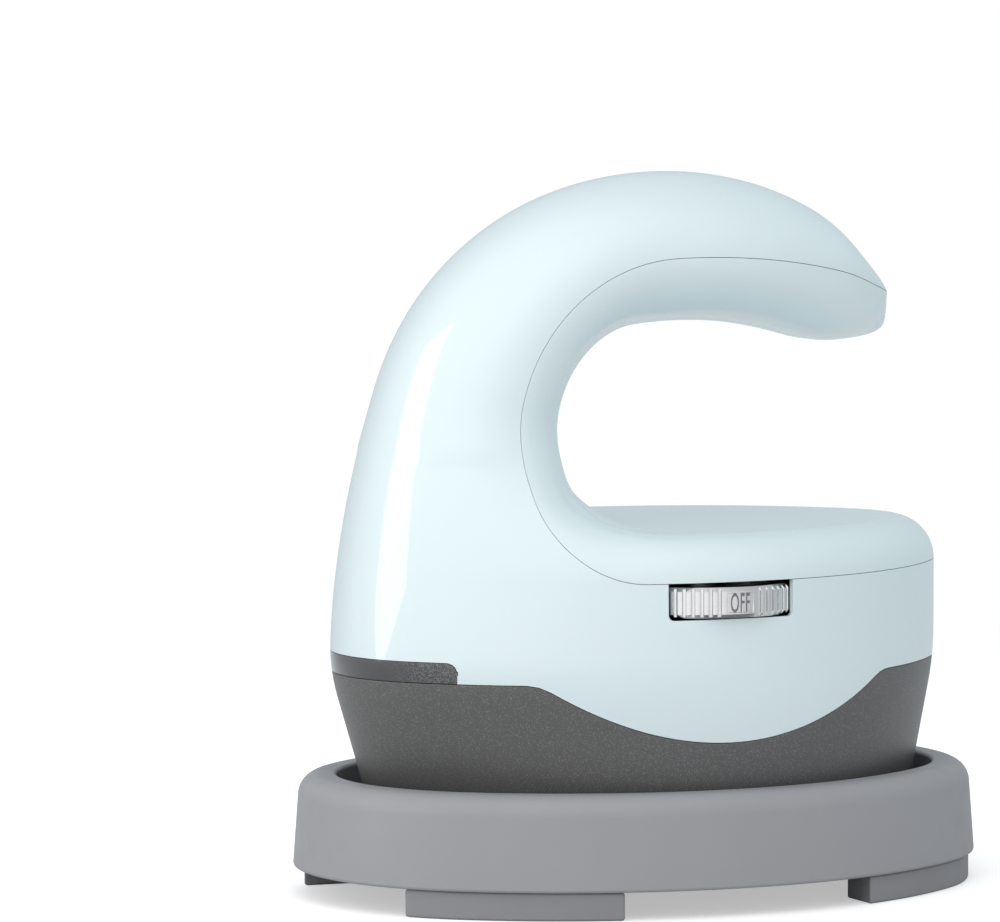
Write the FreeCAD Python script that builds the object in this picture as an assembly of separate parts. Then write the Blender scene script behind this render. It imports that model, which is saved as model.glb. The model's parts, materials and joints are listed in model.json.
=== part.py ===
"""Mini handheld heat press on its rest stand. Millimetres, +Z up, long axis along X.

The press is a C-shaped two-piece housing over a dark skirt and a ceramic-faced heating plate.
The nose of the housing and its indicator window are at -X, the open end of the grip at +X and
the heat dial on the -Y side. The origin is on the floor, under the middle of the stand.
"""
import FreeCAD
import Part
import math
import os

V = FreeCAD.Vector
X_AXIS, Z_AXIS = V(1, 0, 0), V(0, 0, 1)

# ---------------------------------------------------------------- driving dimensions
HALF_LENGTH = 57.7           # housing at its waist
HALF_WIDTH = 40.3


def oval(shorter, narrower, r1, r2, dx=0.0):
    """Plan outline of four tangent arcs, this much shorter at each end than the waist and this
    much narrower at each side, with the radii of its -X and +X tips and its shift along X."""
    return dict(a=HALF_LENGTH - shorter, b=HALF_WIDTH - narrower, r1=r1, r2=r2, dx=dx)


BODY_WAIST = oval(0.0, 0.0, 26.4, 22.0)          # top of the skirt
BODY_DECK = oval(0.6, 0.1, 26.4, 22.0, 0.6)      # seam between shell and deck
BODY_FOOT = oval(5.3, 2.3, 13.0, 22.0, 0.6)      # lower edge of the skirt
STAND_RIM = oval(1.7, -0.2, 32.2, 32.2)          # inner edge of the stand's rim
NOSE_X = BODY_DECK["dx"] - BODY_DECK["a"]
DECK_TIP = BODY_DECK["dx"] + BODY_DECK["a"]

FOOT_HEIGHT = 5.0            # stand's feet
STAND_TOP = 21.6             # inner edge of the stand's rim
STAND_WALL_TOP = 6.6         # how far the wall stands outside the rim's inner edge, at the top
STAND_WALL_FOOT = 7.8        # the same at the foot of the wall: the wall has draft
RIM_ROLL_DROP = 4.6          # height over which the rim rolls over into the wall
STAND_FLOOR_Z = 8.0          # underside of the tray's floor
STAND_FLOOR = 2.4            # thickness of the tray's floor
STAND_SKIN = 2.2             # moulded wall of the stand
REST_GAP = 0.2               # plate above the rest pads
PLATE_Z = 13.0               # working face of the plate
PLATE_SLAB = 4.0             # visible slab of the plate
PLATE_CORE = 3.0             # thickness of the plate inside the skirt
PLATE_BEVEL = 2.6
SEAL_GAP = 0.6               # between the plate and the skirt, filled by the gasket
WAIST_Z = 40.2
DECK_SEAM_Z = 57.8
DECK_HEIGHT = 8.0            # deck above its seam, all of it rounded edge
WALL = 2.2                   # moulded wall of the housing
SEAM_GAP = 0.15              # visible joint between two mouldings
BIB_DEPTH = 10.7             # how far the shell's bib dips into the skirt
BIB_HALF = 33.7              # half length of the bib
ARM_HALF_WIDTH = 21.0        # half width of the grip
GRIP_NARROWS_X = NOSE_X + 58.5                   # the grip narrows from here to its tip
DIAL_RADIUS = 18.0
DIAL_PROUD = 2.0             # how far the dial stands out of the wall
DIAL_THICKNESS = 5.4
DIAL_TOP_GAP = 0.7           # dial below the deck seam
DIAL_STEP = 60.0             # degrees from one heat level to the next
DIAL_RIBS = 72
SLOT_END_GAP = 1.44          # dial to each end of its opening, inside the wall
SLOT_FOOT_GAP = 0.3          # dial above the foot of its opening
WINDOW_HEIGHT = 3.8
WINDOW_END_X = 12.2 - HALF_LENGTH                # the window runs round the nose back to here
BOARD_THICKNESS = 1.6

# Side-view curves as chains of tangent arcs: start x, start z, heading in degrees, then
# (radius, sweep) pairs, turning right for a positive radius.
SPINE_CURVE = (NOSE_X, DECK_SEAM_Z, 82.0,
               ((120.0, 6.5), (85.6, 38.4), (54.0, 47.5), (45.8, 49.5), (3.2, 30.0)))
SEAM_CURVE = (NOSE_X + 40.5, DECK_SEAM_Z, 180.0,
              ((16.6, 80.0), (44.5, 20.0), (32.4, 78.0), (142.0, 17.0), (40.0, 18.0)))
GRIP_CURVE = (NOSE_X + 47.8, DECK_SEAM_Z + DECK_HEIGHT, 180.0,
              ((8.0, 61.8), (34.0, 15.3), (18.7, 96.2), (85.0, 22.7), (-27.0, 41.0), (-3.6, 65.0)))


# ---------------------------------------------------------------- plan outlines
def grown(plan, d):
    """The same oval, offset outwards by d."""
    return dict(a=plan["a"] + d, b=plan["b"] + d, r1=plan["r1"] + d, r2=plan["r2"] + d,
                dx=plan["dx"])


def between(low, high, t):
    return {k: low[k] + (high[k] - low[k]) * t for k in low}


def side_arc(plan):
    """Centre x and radius of the two long side arcs, tangent to both tip arcs."""
    a, b, r1, r2 = plan["a"], plan["b"], plan["r1"], plan["r2"]
    radius = 2.0 * a
    for _ in range(60):
        xc = ((r2 - r1) * (2 * radius - r1 - r2) / (2 * a - r1 - r2) + r1 - r2) / 2
        m = xc + a - r1
        radius = (m * m + b * b - r1 * r1) / (2 * (b - r1))
    return xc, radius


def half_width(plan, x):
    """Half width of the oval at x."""
    a, b, r1, r2 = plan["a"], plan["b"], plan["r1"], plan["r2"]
    xc, radius = side_arc(plan)
    x = x - plan["dx"]
    front, back = -(a - r1), a - r2
    front_end = front - r1 * (xc - front) / (radius - r1)
    back_end = back + r2 * (back - xc) / (radius - r2)
    if x < front_end:
        return math.sqrt(max(r1 * r1 - (x - front) ** 2, 0.0))
    if x > back_end:
        return math.sqrt(max(r2 * r2 - (x - back) ** 2, 0.0))
    return math.sqrt(radius * radius - (x - xc) ** 2) - (radius - b)


def outline(plan, z):
    """Closed wire of the oval at height z, of its four arcs."""
    xc, radius = side_arc(plan)
    rise = radius - plan["b"]
    front, back = plan["r1"] - plan["a"], plan["a"] - plan["r2"]
    front_turn, back_turn = math.atan2(rise, front - xc), math.atan2(rise, back - xc)
    arcs = ((back, 0.0, plan["r2"], -back_turn, back_turn),
            (xc, -rise, radius, back_turn, front_turn),
            (front, 0.0, plan["r1"], front_turn, 2 * math.pi - front_turn),
            (xc, rise, radius, -front_turn, -back_turn))
    edges = []
    for cx, cy, r, start, end in arcs:
        turns = (start, (start + end) / 2, end)
        edges.append(Part.Arc(*[V(plan["dx"] + cx + r * math.cos(t), cy + r * math.sin(t), z)
                                for t in turns]).toShape())
    return Part.Wire(edges)


STEPS = 12                   # spans of an interpolated arc


def half_outline(plan, x0, front):
    """Points of the oval in front of x0, or behind it, from +Y round the tip to -Y."""
    if front:
        tip, sign = plan["dx"] - plan["a"], 1.0
    else:
        tip, sign = plan["dx"] + plan["a"], -1.0
    reach = abs(x0 - tip)
    points = []
    for k in range(STEPS + 1):
        u = -1.0 + 2.0 * k / STEPS
        x = tip + sign * reach * (1 - math.cos(u * math.pi / 2))
        y = half_width(plan, x) if u else 0.0
        points.append((x, -math.copysign(y, u)))
    return points


def curve(points):
    """Interpolated edge with evenly spaced knots, so that lofts of several stay light."""
    spline = Part.BSplineCurve()
    last = len(points) - 1
    spline.interpolate(Points=points, Parameters=[i / last for i in range(last + 1)])
    return spline.toShape()


JOIN_X = SEAM_CURVE[0]       # the front and back halves of the housing's ovals meet here


def half_edge(plan, z, front):
    """Front or rear half of the oval at height z, as one edge from +Y round the tip to -Y."""
    points = [V(x, y, z) for x, y in half_outline(plan, JOIN_X, front)]
    ends = half_width(plan, JOIN_X)
    points[0], points[-1] = V(JOIN_X, ends, z), V(JOIN_X, -ends, z)
    return curve(points)


def two_part_outline(plan, z):
    """Closed wire of the oval at height z, of its front and its rear edge."""
    return Part.Wire([half_edge(plan, z, True), half_edge(plan, z, False)])


def prism(plan, z0, z1):
    return Part.Face(outline(plan, z0)).extrude(V(0, 0, z1 - z0))


def tapered(levels, wire=outline):
    """Solid through (oval, z) levels with straight walls between them."""
    return Part.makeLoft([wire(plan, z) for plan, z in levels], True, True)


# ---------------------------------------------------------------- side-view curves
def chain(spec, steps=24):
    """Points of a chain of tangent arcs, as (x, z)."""
    x, z, heading, arcs = spec
    h = math.radians(heading)
    points = [(x, z)]
    for radius, sweep in arcs:
        turn = math.radians(sweep) * (1 if radius > 0 else -1)
        cx, cz = x + radius * math.sin(h), z - radius * math.cos(h)
        for k in range(1, steps + 1):
            a = h - turn * k / steps
            points.append((cx - radius * math.sin(a), cz + radius * math.cos(a)))
        h -= turn
        x, z = points[-1]
    return points


def seam_at(sweep, inset=0.0):
    """Point on the seam curve after this many degrees of turn, and its outward normal."""
    x, z, heading, arcs = SEAM_CURVE
    h = math.radians(heading)
    left = sweep
    for radius, arc in arcs:
        part = math.radians(min(left, arc))
        cx, cz = x + radius * math.sin(h), z - radius * math.cos(h)
        h -= part
        x, z = cx - radius * math.sin(h), cz + radius * math.cos(h)
        left -= arc
        if left <= 0:
            break
    out = (-math.sin(h), math.cos(h))
    return (x - inset * out[0], z - inset * out[1]), out


def ray_hit(points, origin, way):
    """Distance from origin along way to the nearest crossing of the polyline."""
    best = None
    for (x0, z0), (x1, z1) in zip(points, points[1:]):
        ex, ez = x1 - x0, z1 - z0
        det = way[0] * -ez + ex * way[1]
        if abs(det) < 1e-9:
            continue
        rx, rz = x0 - origin[0], z0 - origin[1]
        t = (rx * -ez + ex * rz) / det
        s = (way[0] * rz - way[1] * rx) / det
        if t > 0 and -1e-6 <= s <= 1 + 1e-6 and (best is None or t < best):
            best = t
    return best


SPINE = chain(SPINE_CURVE)
GRIP = [(80.0, GRIP_CURVE[1])] + chain(GRIP_CURVE)


def smooth(t):
    t = min(max(t, 0.0), 1.0)
    return t * t * (3 - 2 * t)


GRIP_TIP_X = SPINE[-1][0] + 0.6
WAIST_RISE = 30.0            # height above the deck seam where the grip has its own width
GRIP_ROUNDING = 0.9          # share of the half width that the rounding of the grip takes


def seam_half_width(x, z, inset=0.0):
    """Half width of the housing at a point of the seam, seen from the side."""
    wall = half_width(grown(BODY_DECK, -inset), x)
    if x > GRIP_NARROWS_X and z > DECK_SEAM_Z + WAIST_RISE:
        u = (x - GRIP_NARROWS_X) / (GRIP_TIP_X - GRIP_NARROWS_X)
        return ARM_HALF_WIDTH * math.sqrt(max(1 - u * u, 0.01)) - inset
    return wall + (ARM_HALF_WIDTH - inset - wall) * smooth((z - DECK_SEAM_Z) / WAIST_RISE)


# ---------------------------------------------------------------- housing sections
UPRIGHT = 90.0               # turn of the seam at which it runs straight up the spine


def spine_section(turn, inset=0.0):
    """Half oval from seam to seam round the back of the C."""
    (sx, sz), out = seam_at(turn)
    if turn < UPRIGHT:
        out = (-1.0, 0.0)
    depth = ray_hit(SPINE, (sx, sz), out) - inset
    width = seam_half_width(sx, sz, inset)
    blend = smooth((sz - DECK_SEAM_Z) / WAIST_RISE) if turn < UPRIGHT else 1.0
    plan = grown(BODY_DECK, -inset)
    tip = plan["dx"] - plan["a"]
    points = []
    for k in range(STEPS + 1):
        u = -1.0 + 2.0 * k / STEPS
        round_reach, round_side = math.cos(u * math.pi / 2), -math.sin(u * math.pi / 2)
        x = tip + abs(sx - tip) * (1 - round_reach)
        plan_side = -math.copysign(half_width(plan, x), u) / half_width(plan, sx)
        side = plan_side + (round_side - plan_side) * blend
        points.append(V(sx + out[0] * depth * round_reach, width * side,
                        sz + out[1] * depth * round_reach))
    return points


def cover_rise(depth, y, width, inset, edge_share, grip):
    """Height of the cover over the seam: a rounded edge, with the grip swelling inside it."""
    deck = DECK_HEIGHT - SEAM_GAP - inset
    e = min((width - abs(y)) / (GRIP_ROUNDING * width), 1.0)
    foot = deck * edge_share + (depth - deck) * smooth(e)
    return foot + (depth * math.sqrt(1 - (1 - e) ** 2) - foot) * grip


def grip_section(turn, inset=0.0):
    """Arc of the cover inside the C, in the plane normal to the seam."""
    (sx, sz), out = seam_at(turn, SEAM_GAP)
    width = seam_half_width(sx, sz, inset)
    depth = ray_hit(GRIP, (sx, sz), (-out[0], -out[1])) - inset
    grip = smooth((sz - DECK_SEAM_Z) / WAIST_RISE)
    points = []
    for k in range(STEPS + 1):
        y = width * math.cos(math.pi * k / STEPS)
        e = min((width - abs(y)) / (DECK_HEIGHT - inset), 1.0)
        d = cover_rise(depth, y, width, inset, math.sqrt(1 - (1 - e) ** 2), grip)
        points.append(V(sx - out[0] * d, y, sz - out[1] * d))
    return points


def deck_edge(x, y, inset):
    """Share of its full height that the deck has at a point: less over its rounded edge."""
    r = DECK_HEIGHT - inset
    near, far = 0.0, r
    if half_width(grown(BODY_DECK, -inset - r), x) > abs(y):
        return 1.0
    for _ in range(30):
        middle = (near + far) / 2
        if half_width(grown(BODY_DECK, -inset - middle), x) > abs(y):
            near = middle
        else:
            far = middle
    return math.sqrt(1 - (1 - near / r) ** 2)


def deck_section(x, inset=0.0):
    """Arc across the deck at x, in an upright plane."""
    z = DECK_SEAM_Z + SEAM_GAP
    width = half_width(grown(BODY_DECK, -inset), x)
    depth = ray_hit(GRIP, (x, z), (0.0, 1.0)) - inset
    ys = [width * math.cos(math.pi * k / STEPS) for k in range(STEPS + 1)]
    return [V(x, y, z + cover_rise(depth, y, width, inset, deck_edge(x, y, inset), 0.0))
            for y in ys]


def solid_wire(arc, split):
    """Closed wire of an arc and its chord; the chord has corners at this share of its half."""
    middle = (arc[0] + arc[-1]) * 0.5
    near, far = middle + (arc[0] - middle) * split, middle + (arc[-1] - middle) * split
    return Part.Wire([curve(arc), Part.makeLine(arc[-1], far), Part.makeLine(far, near),
                      Part.makeLine(near, arc[0])])


def hollow_wire(arc, inner):
    """Closed wire round the wall between two arcs."""
    return Part.Wire([curve(arc), Part.makeLine(arc[-1], inner[-1]), curve(inner[::-1]),
                      Part.makeLine(inner[0], arc[0])])


def lid(arc):
    return Part.Face(Part.Wire([curve(arc), Part.makeLine(arc[-1], arc[0])]))


def sewn(faces):
    """Solid inside a closed set of faces."""
    skin = Part.makeCompound(faces)
    skin.sewShape(0.001)
    body = Part.Solid(skin.Shells[0])
    if body.Volume < 0:
        body.reverse()
    return body


def closed_end(arcs, inner):
    """Faces of a solid end that starts on the wall round inner and runs out along arcs."""
    split = inner[0].y / arcs[0][0].y
    end = Part.makeLoft([solid_wire(arc, split) for arc in arcs], False, False).Faces
    return end + [lid(inner), Part.Face(solid_wire(arcs[-1], split))]


def half_pipe(arcs, inners):
    """Faces of a wall between lofted arcs, outer and inner, open at both ends."""
    wires = [hollow_wire(arc, inner) for arc, inner in zip(arcs, inners)]
    return Part.makeLoft(wires, False, False).Faces


# ---------------------------------------------------------------- small helpers
def cyl(x, y, z0, z1, r):
    return Part.makeCylinder(r, z1 - z0, V(x, y, z0))


def box(x0, x1, y0, y1, z0, z1):
    return Part.makeBox(x1 - x0, y1 - y0, z1 - z0, V(x0, y0, z0))


def fuse(first, *rest):
    out = first
    for shape in rest:
        out = out.fuse(shape)
    return out.removeSplitter()


def export(name, shape):
    solids = shape.Solids
    if not solids:
        raise ValueError(name + " has no solid")
    out = solids[0] if len(solids) == 1 else Part.makeCompound(solids)
    out.exportStep(os.path.join("parts", name + ".step"))
    print(name, len(solids), "solid(s)", round(sum(s.Volume for s in solids), 1), "mm3",
          "valid" if all(s.isValid() for s in solids) else "INVALID")


# ---------------------------------------------------------------- sizes of what is inside
DIAL_Y = -(half_width(BODY_DECK, 0.0) + DIAL_PROUD - DIAL_RADIUS)
DIAL_TOP = DECK_SEAM_Z - DIAL_TOP_GAP
DIAL_FOOT = DIAL_TOP - DIAL_THICKNESS
SLOT_Z = DIAL_FOOT - SLOT_FOOT_GAP
SLOT_HALF = SLOT_END_GAP + math.sqrt(DIAL_RADIUS ** 2 - (DIAL_RADIUS - DIAL_PROUD - WALL) ** 2)
PLATE_SLAB_TOP = PLATE_Z + PLATE_SLAB
SKIRT_Z = PLATE_SLAB_TOP + SEAL_GAP
PLATE_TOP = PLATE_SLAB_TOP + PLATE_CORE
CORE_INSET = 3.4             # plate core inside the lower edge of the skirt
ELEMENT_THICKNESS = 1.2
PAD_THICKNESS = 3.2
SHIELD_THICKNESS = 0.8
FLOOR_Z = 28.0               # underside of the skirt's floor
FLOOR = 2.0
FLOOR_TOP = FLOOR_Z + FLOOR
SHAFT_CLEARANCE = 0.05       # radial, shafts and screw shanks in their holes
PLATE_POST_IN, HOUSING_POST_IN = 13.7, 11.6      # posts inside the outline beside them
PLATE_POST_X = BODY_FOOT["a"] - 22.4
PLATE_POST_Y = min(half_width(BODY_FOOT, s * PLATE_POST_X) for s in (-1, 1)) - PLATE_POST_IN
PLATE_POSTS = [(sx * PLATE_POST_X, sy * PLATE_POST_Y) for sx in (-1, 1) for sy in (-1, 1)]
PLATE_POST_R = 3.5
HOUSING_POST_X = HALF_LENGTH - 17.7
HOUSING_POST_Y = min(half_width(BODY_WAIST, s * HOUSING_POST_X) for s in (-1, 1)) - HOUSING_POST_IN
HOUSING_POSTS = [(sx * HOUSING_POST_X, sy * HOUSING_POST_Y) for sx in (-1, 1) for sy in (-1, 1)]
HOUSING_POST_R = 3.2
HOUSING_POST_TOP = 50.0
COLLAR = 1.3                 # skirt's inner collar, which the shell slides over
COLLAR_GAP = 0.2
COLLAR_TOP = WAIST_Z + 3.0
CORD_Z = 46.0
CORD_BORE_R = 2.9
GLAND_NECK_R = CORD_BORE_R + 0.8
GLAND_R = GLAND_NECK_R + 1.3
GLAND_SEAT = 0.8             # how far the gland's flange is let into the shell
GLAND_LENGTH = 7.0
CLAMP_X = DECK_TIP - GLAND_LENGTH - 8.7
CLAMP_LENGTH = 4.0
CLAMP_HALF = 9.5
CLAMP_SCREW_Y = 6.6
BOARD_Z = 36.0
BOARD_FRONT_X, BOARD_BACK_X = -24.0, CLAMP_X - 8.0
BOARD_SIDE_Y = 26.0
BOARD_POSTS = [(-18.0, -14.0), (-18.0, 14.0), (24.0, -14.0), (24.0, 14.0)]
BOARD_POST_R = 2.8
SWITCH_HALF = 6.5
SWITCH_HEIGHT = 9.0
BUSHING_R = 4.4
BUSHING_HEIGHT = 2.2
SPINDLE_R = 3.0
LED_BOARD_X = WINDOW_END_X - 3.5
LED_Y = (-7.5, -2.5, 2.5, 7.5)
LED_Z = WAIST_Z + WINDOW_HEIGHT / 2
LED_R = 1.4
SCREW_R = 1.5
SCREW_HEAD_R = 2.7
SCREW_HEAD = 1.7


# ---------------------------------------------------------------- shared shapes
def bib_region(offset):
    """Everything above the wavy line between shell and skirt, raised by offset."""
    radius = (BIB_HALF ** 2 + BIB_DEPTH ** 2) / (2 * BIB_DEPTH)
    cz = WAIST_Z - BIB_DEPTH + radius
    level, corner, r = WAIST_Z + offset, 7.0 + offset, radius - offset
    drop = cz - (level - corner)
    fx = math.sqrt((r + corner) ** 2 - drop ** 2)
    k = r / (r + corner)
    tx, tz = fx * k, cz - drop * k
    mid = math.radians(90) - math.atan2(fx, drop) / 2
    mx, mz = fx - corner * math.cos(mid), level - corner + corner * math.sin(mid)
    y, far, top = -80.0, 90.0, 200.0
    edges = [Part.makeLine(V(-far, y, level), V(-fx, y, level)),
             Part.Arc(V(-fx, y, level), V(-mx, y, mz), V(-tx, y, tz)).toShape(),
             Part.Arc(V(-tx, y, tz), V(0, y, cz - r), V(tx, y, tz)).toShape(),
             Part.Arc(V(tx, y, tz), V(mx, y, mz), V(fx, y, level)).toShape(),
             Part.makeLine(V(fx, y, level), V(far, y, level)),
             Part.makeLine(V(far, y, level), V(far, y, top)),
             Part.makeLine(V(far, y, top), V(-far, y, top)),
             Part.makeLine(V(-far, y, top), V(-far, y, level))]
    return Part.Face(Part.Wire(edges)).extrude(V(0, -2 * y, 0))


def body_at(z):
    """Oval of the body at a height between the skirt's lower edge and the deck seam."""
    if z < WAIST_Z:
        return between(BODY_FOOT, BODY_WAIST, (z - SKIRT_Z) / (WAIST_Z - SKIRT_Z))
    return between(BODY_WAIST, BODY_DECK, (z - WAIST_Z) / (DECK_SEAM_Z - WAIST_Z))


def body_solid(inset, low, high, wire=outline):
    levels = [low] + ([WAIST_Z] if low < WAIST_Z < high else []) + [high]
    return tapered([(grown(body_at(z), -inset), z) for z in levels], wire)


def rounded_slot(x0, x1, y0, y1, z0, z1, r):
    """Box along Y whose upright side-view corners are rounded."""
    blank = box(x0, x1, y0, y1, z0, z1)
    along = [e for e in blank.Edges if abs(e.Length - (y1 - y0)) < 1e-6]
    return blank.makeFillet(r, along)


def screw(x, y, head_z, length, up=False, r=SCREW_R, head_r=SCREW_HEAD_R, head=SCREW_HEAD):
    """Pan-head screw with a cross-shaped recess; head_z is the bearing face of the head."""
    round_off = 0.4 * head
    cap = cyl(x, y, 0, head, head_r)
    cap = cap.makeChamfer(round_off, [e for e in cap.Edges if e.BoundBox.ZMin > head - 0.01])
    wing, slit = 0.55 * head_r, 0.14 * head_r
    cross = fuse(box(x - wing, x + wing, y - slit, y + slit, 0.5 * head, head),
                 box(x - slit, x + slit, y - wing, y + wing, 0.5 * head, head))
    out = fuse(cyl(x, y, -length, 0, r), cap).cut(cross)
    if up:
        out.rotate(V(x, y, 0), X_AXIS, 180)
    out.translate(V(0, 0, head_z))
    return out


# ---------------------------------------------------------------- stand
def stand_tray():
    outer = tapered([(grown(STAND_RIM, STAND_WALL_FOOT), FOOT_HEIGHT),
                     (grown(STAND_RIM, STAND_WALL_TOP), STAND_TOP)])
    rim = [e for e in outer.Edges if e.BoundBox.ZMin > STAND_TOP - 0.01]
    outer = outer.makeFillet(RIM_ROLL_DROP, rim)
    pocket = prism(STAND_RIM, STAND_FLOOR_Z + STAND_FLOOR, STAND_TOP + 1)
    under = prism(STAND_RIM, FOOT_HEIGHT - 1, STAND_FLOOR_Z)
    channel_top = STAND_TOP - RIM_ROLL_DROP - 1.5
    channel = prism(grown(STAND_RIM, STAND_WALL_FOOT - 2 * STAND_SKIN), FOOT_HEIGHT - 1,
                    channel_top)
    channel = channel.cut(prism(grown(STAND_RIM, STAND_SKIN / 2), FOOT_HEIGHT - 1, channel_top))
    ribs = fuse(*[box(-90, 90, -0.8, 0.8, 0, 40).rotated(V(0, 0, 0), Z_AXIS, a)
                  for a in (0, 90)])
    return outer.cut(pocket).cut(under).cut(channel.cut(ribs))


FOOT_INNER_X, FOOT_OUTER_Y = 25.2, 19.0      # where each foot ends along the oval
FOOT_SET_IN, FOOT_WIDTH = 1.0, 8.5
PEG_RISE = 4.0


def foot_sector():
    quarters = [box(sx * FOOT_INNER_X if sx > 0 else -90, 90 if sx > 0 else -FOOT_INNER_X,
                    FOOT_OUTER_Y if sy > 0 else -90, 90 if sy > 0 else -FOOT_OUTER_Y, -1, 40)
                for sx in (-1, 1) for sy in (-1, 1)]
    return Part.makeCompound(quarters)


def stand_feet():
    outside = STAND_WALL_FOOT - FOOT_SET_IN
    pad = prism(grown(STAND_RIM, outside), 0, FOOT_HEIGHT)
    pad = pad.cut(prism(grown(STAND_RIM, outside - FOOT_WIDTH), -1, FOOT_HEIGHT + 1))
    peg_out = STAND_WALL_FOOT - 2 * STAND_SKIN - 0.1
    peg = prism(grown(STAND_RIM, peg_out), FOOT_HEIGHT, FOOT_HEIGHT + PEG_RISE)
    peg = peg.cut(prism(grown(STAND_RIM, STAND_SKIN / 2 + 0.1), FOOT_HEIGHT - 1, 40))
    return fuse(pad, peg).common(foot_sector())


def stand_rest_pads():
    z0, z1 = STAND_FLOOR_Z + STAND_FLOOR, PLATE_Z - REST_GAP
    pads = []
    for x, y in PLATE_POSTS:
        pad = cyl(x, y, z0, z1, 5.0)
        pads.append(pad.makeChamfer(0.5, [e for e in pad.Edges if e.BoundBox.ZMin > z1 - 0.01]))
    return Part.makeCompound(pads)


# ---------------------------------------------------------------- housing
SPINE_TURNS = (0, 13, 26, 39, 54, 70, 82, 93, 108, 126, 144, 162, 175, 181, 185, 188, 190.5, 193,
               195)
GRIP_TURNS = (10, 22, 38, 54, 70, 82, 93, 108, 126, 152, 167, 177, 182, 186, 189, 192, 195)
NOSE_TURNS = (195, 199, 203, 207, 210, 212)
DECK_END = (4.0, 2.7, 1.5, 0.7, 0.2)            # stations of the deck, from its tip
DECK_FROM_TIP = (4.0, 7.0, 12.0, 19.0, 28.0, 40.0)
DECK_TO_JOIN = (21.7, 12.7, 7.7, 4.2, 1.7, -0.3)  # and the last ones, before the seam turns up


def window_cut(gap):
    """Cutter for the window's place at the nose."""
    return rounded_slot(-70, WINDOW_END_X + gap, -60, 60, WAIST_Z - 2, WAIST_Z + WINDOW_HEIGHT + gap,
                        1.2)


def ring_face(outer, inner):
    """Level face between two half ovals that end on the same line across."""
    (a, b), (c, d) = [(e.firstVertex(True).Point, e.lastVertex(True).Point)
                      for e in (outer, inner)]
    return Part.Face(Part.Wire([outer, Part.makeLine(b, d), inner, Part.makeLine(c, a)]))


def housing_blank():
    """Hollow base and arm, sewn along the line where their side walls run together."""
    faces = []
    for inset in (0.0, WALL):
        base = body_solid(inset, SKIRT_Z, DECK_SEAM_Z, two_part_outline)
        faces += [f for f in base.Faces if f.BoundBox.ZLength > 1]
    foot = [two_part_outline(grown(body_at(SKIRT_Z), -inset), SKIRT_Z) for inset in (0.0, WALL)]
    faces.append(Part.Face(foot[0]).cut(Part.Face(foot[1])).Faces[0])
    faces.append(ring_face(half_edge(BODY_DECK, DECK_SEAM_Z, False),
                           half_edge(grown(BODY_DECK, -WALL), DECK_SEAM_Z, False)))
    faces += half_pipe([spine_section(t) for t in SPINE_TURNS],
                       [spine_section(t, WALL) for t in SPINE_TURNS])
    faces += closed_end([spine_section(t) for t in NOSE_TURNS],
                        spine_section(NOSE_TURNS[0], WALL))
    return sewn(faces)


def outer_shell():
    shell = housing_blank().common(bib_region(SEAM_GAP)).cut(window_cut(0.0))
    slot = rounded_slot(-SLOT_HALF, SLOT_HALF, -60, 0, SLOT_Z, DECK_SEAM_Z + 5, 1.0)
    shell = shell.cut(slot.common(box(-60, 60, -60, 0, 0, DECK_SEAM_Z + 1)))
    for x, y in HOUSING_POSTS:
        side = math.copysign(1, y)
        reach = half_width(BODY_WAIST, x) - WALL + 0.8
        web = box(x - 0.8, x + 0.8, min(y, side * reach), max(y, side * reach),
                  COLLAR_TOP + 1, HOUSING_POST_TOP)
        post = cyl(x, y, FLOOR_TOP, HOUSING_POST_TOP, HOUSING_POST_R)
        shell = shell.fuse(web).fuse(post)
        shell = shell.cut(cyl(x, y, FLOOR_TOP - 1, HOUSING_POST_TOP - 2,
                              SCREW_R + SHAFT_CLEARANCE))
    hole = Part.makeCylinder(GLAND_NECK_R + SHAFT_CLEARANCE, 20, V(DECK_TIP - 10, 0, CORD_Z), X_AXIS)
    seat = Part.makeCylinder(GLAND_R + SHAFT_CLEARANCE, 5, V(DECK_TIP - GLAND_SEAT, 0, CORD_Z),
                             X_AXIS)
    return shell.cut(hole).cut(seat)


def inner_cover():
    level = [DECK_TIP - d for d in DECK_FROM_TIP] + [JOIN_X + d for d in DECK_TO_JOIN]
    faces = closed_end([deck_section(DECK_TIP - d) for d in DECK_END],
                       deck_section(DECK_TIP - DECK_END[0], WALL))
    faces += half_pipe([deck_section(x) for x in level] + [grip_section(t) for t in GRIP_TURNS],
                       [deck_section(x, WALL) for x in level] +
                       [grip_section(t, WALL) for t in GRIP_TURNS])
    faces += closed_end([grip_section(t) for t in NOSE_TURNS], grip_section(NOSE_TURNS[0], WALL))
    return sewn(faces)


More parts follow.
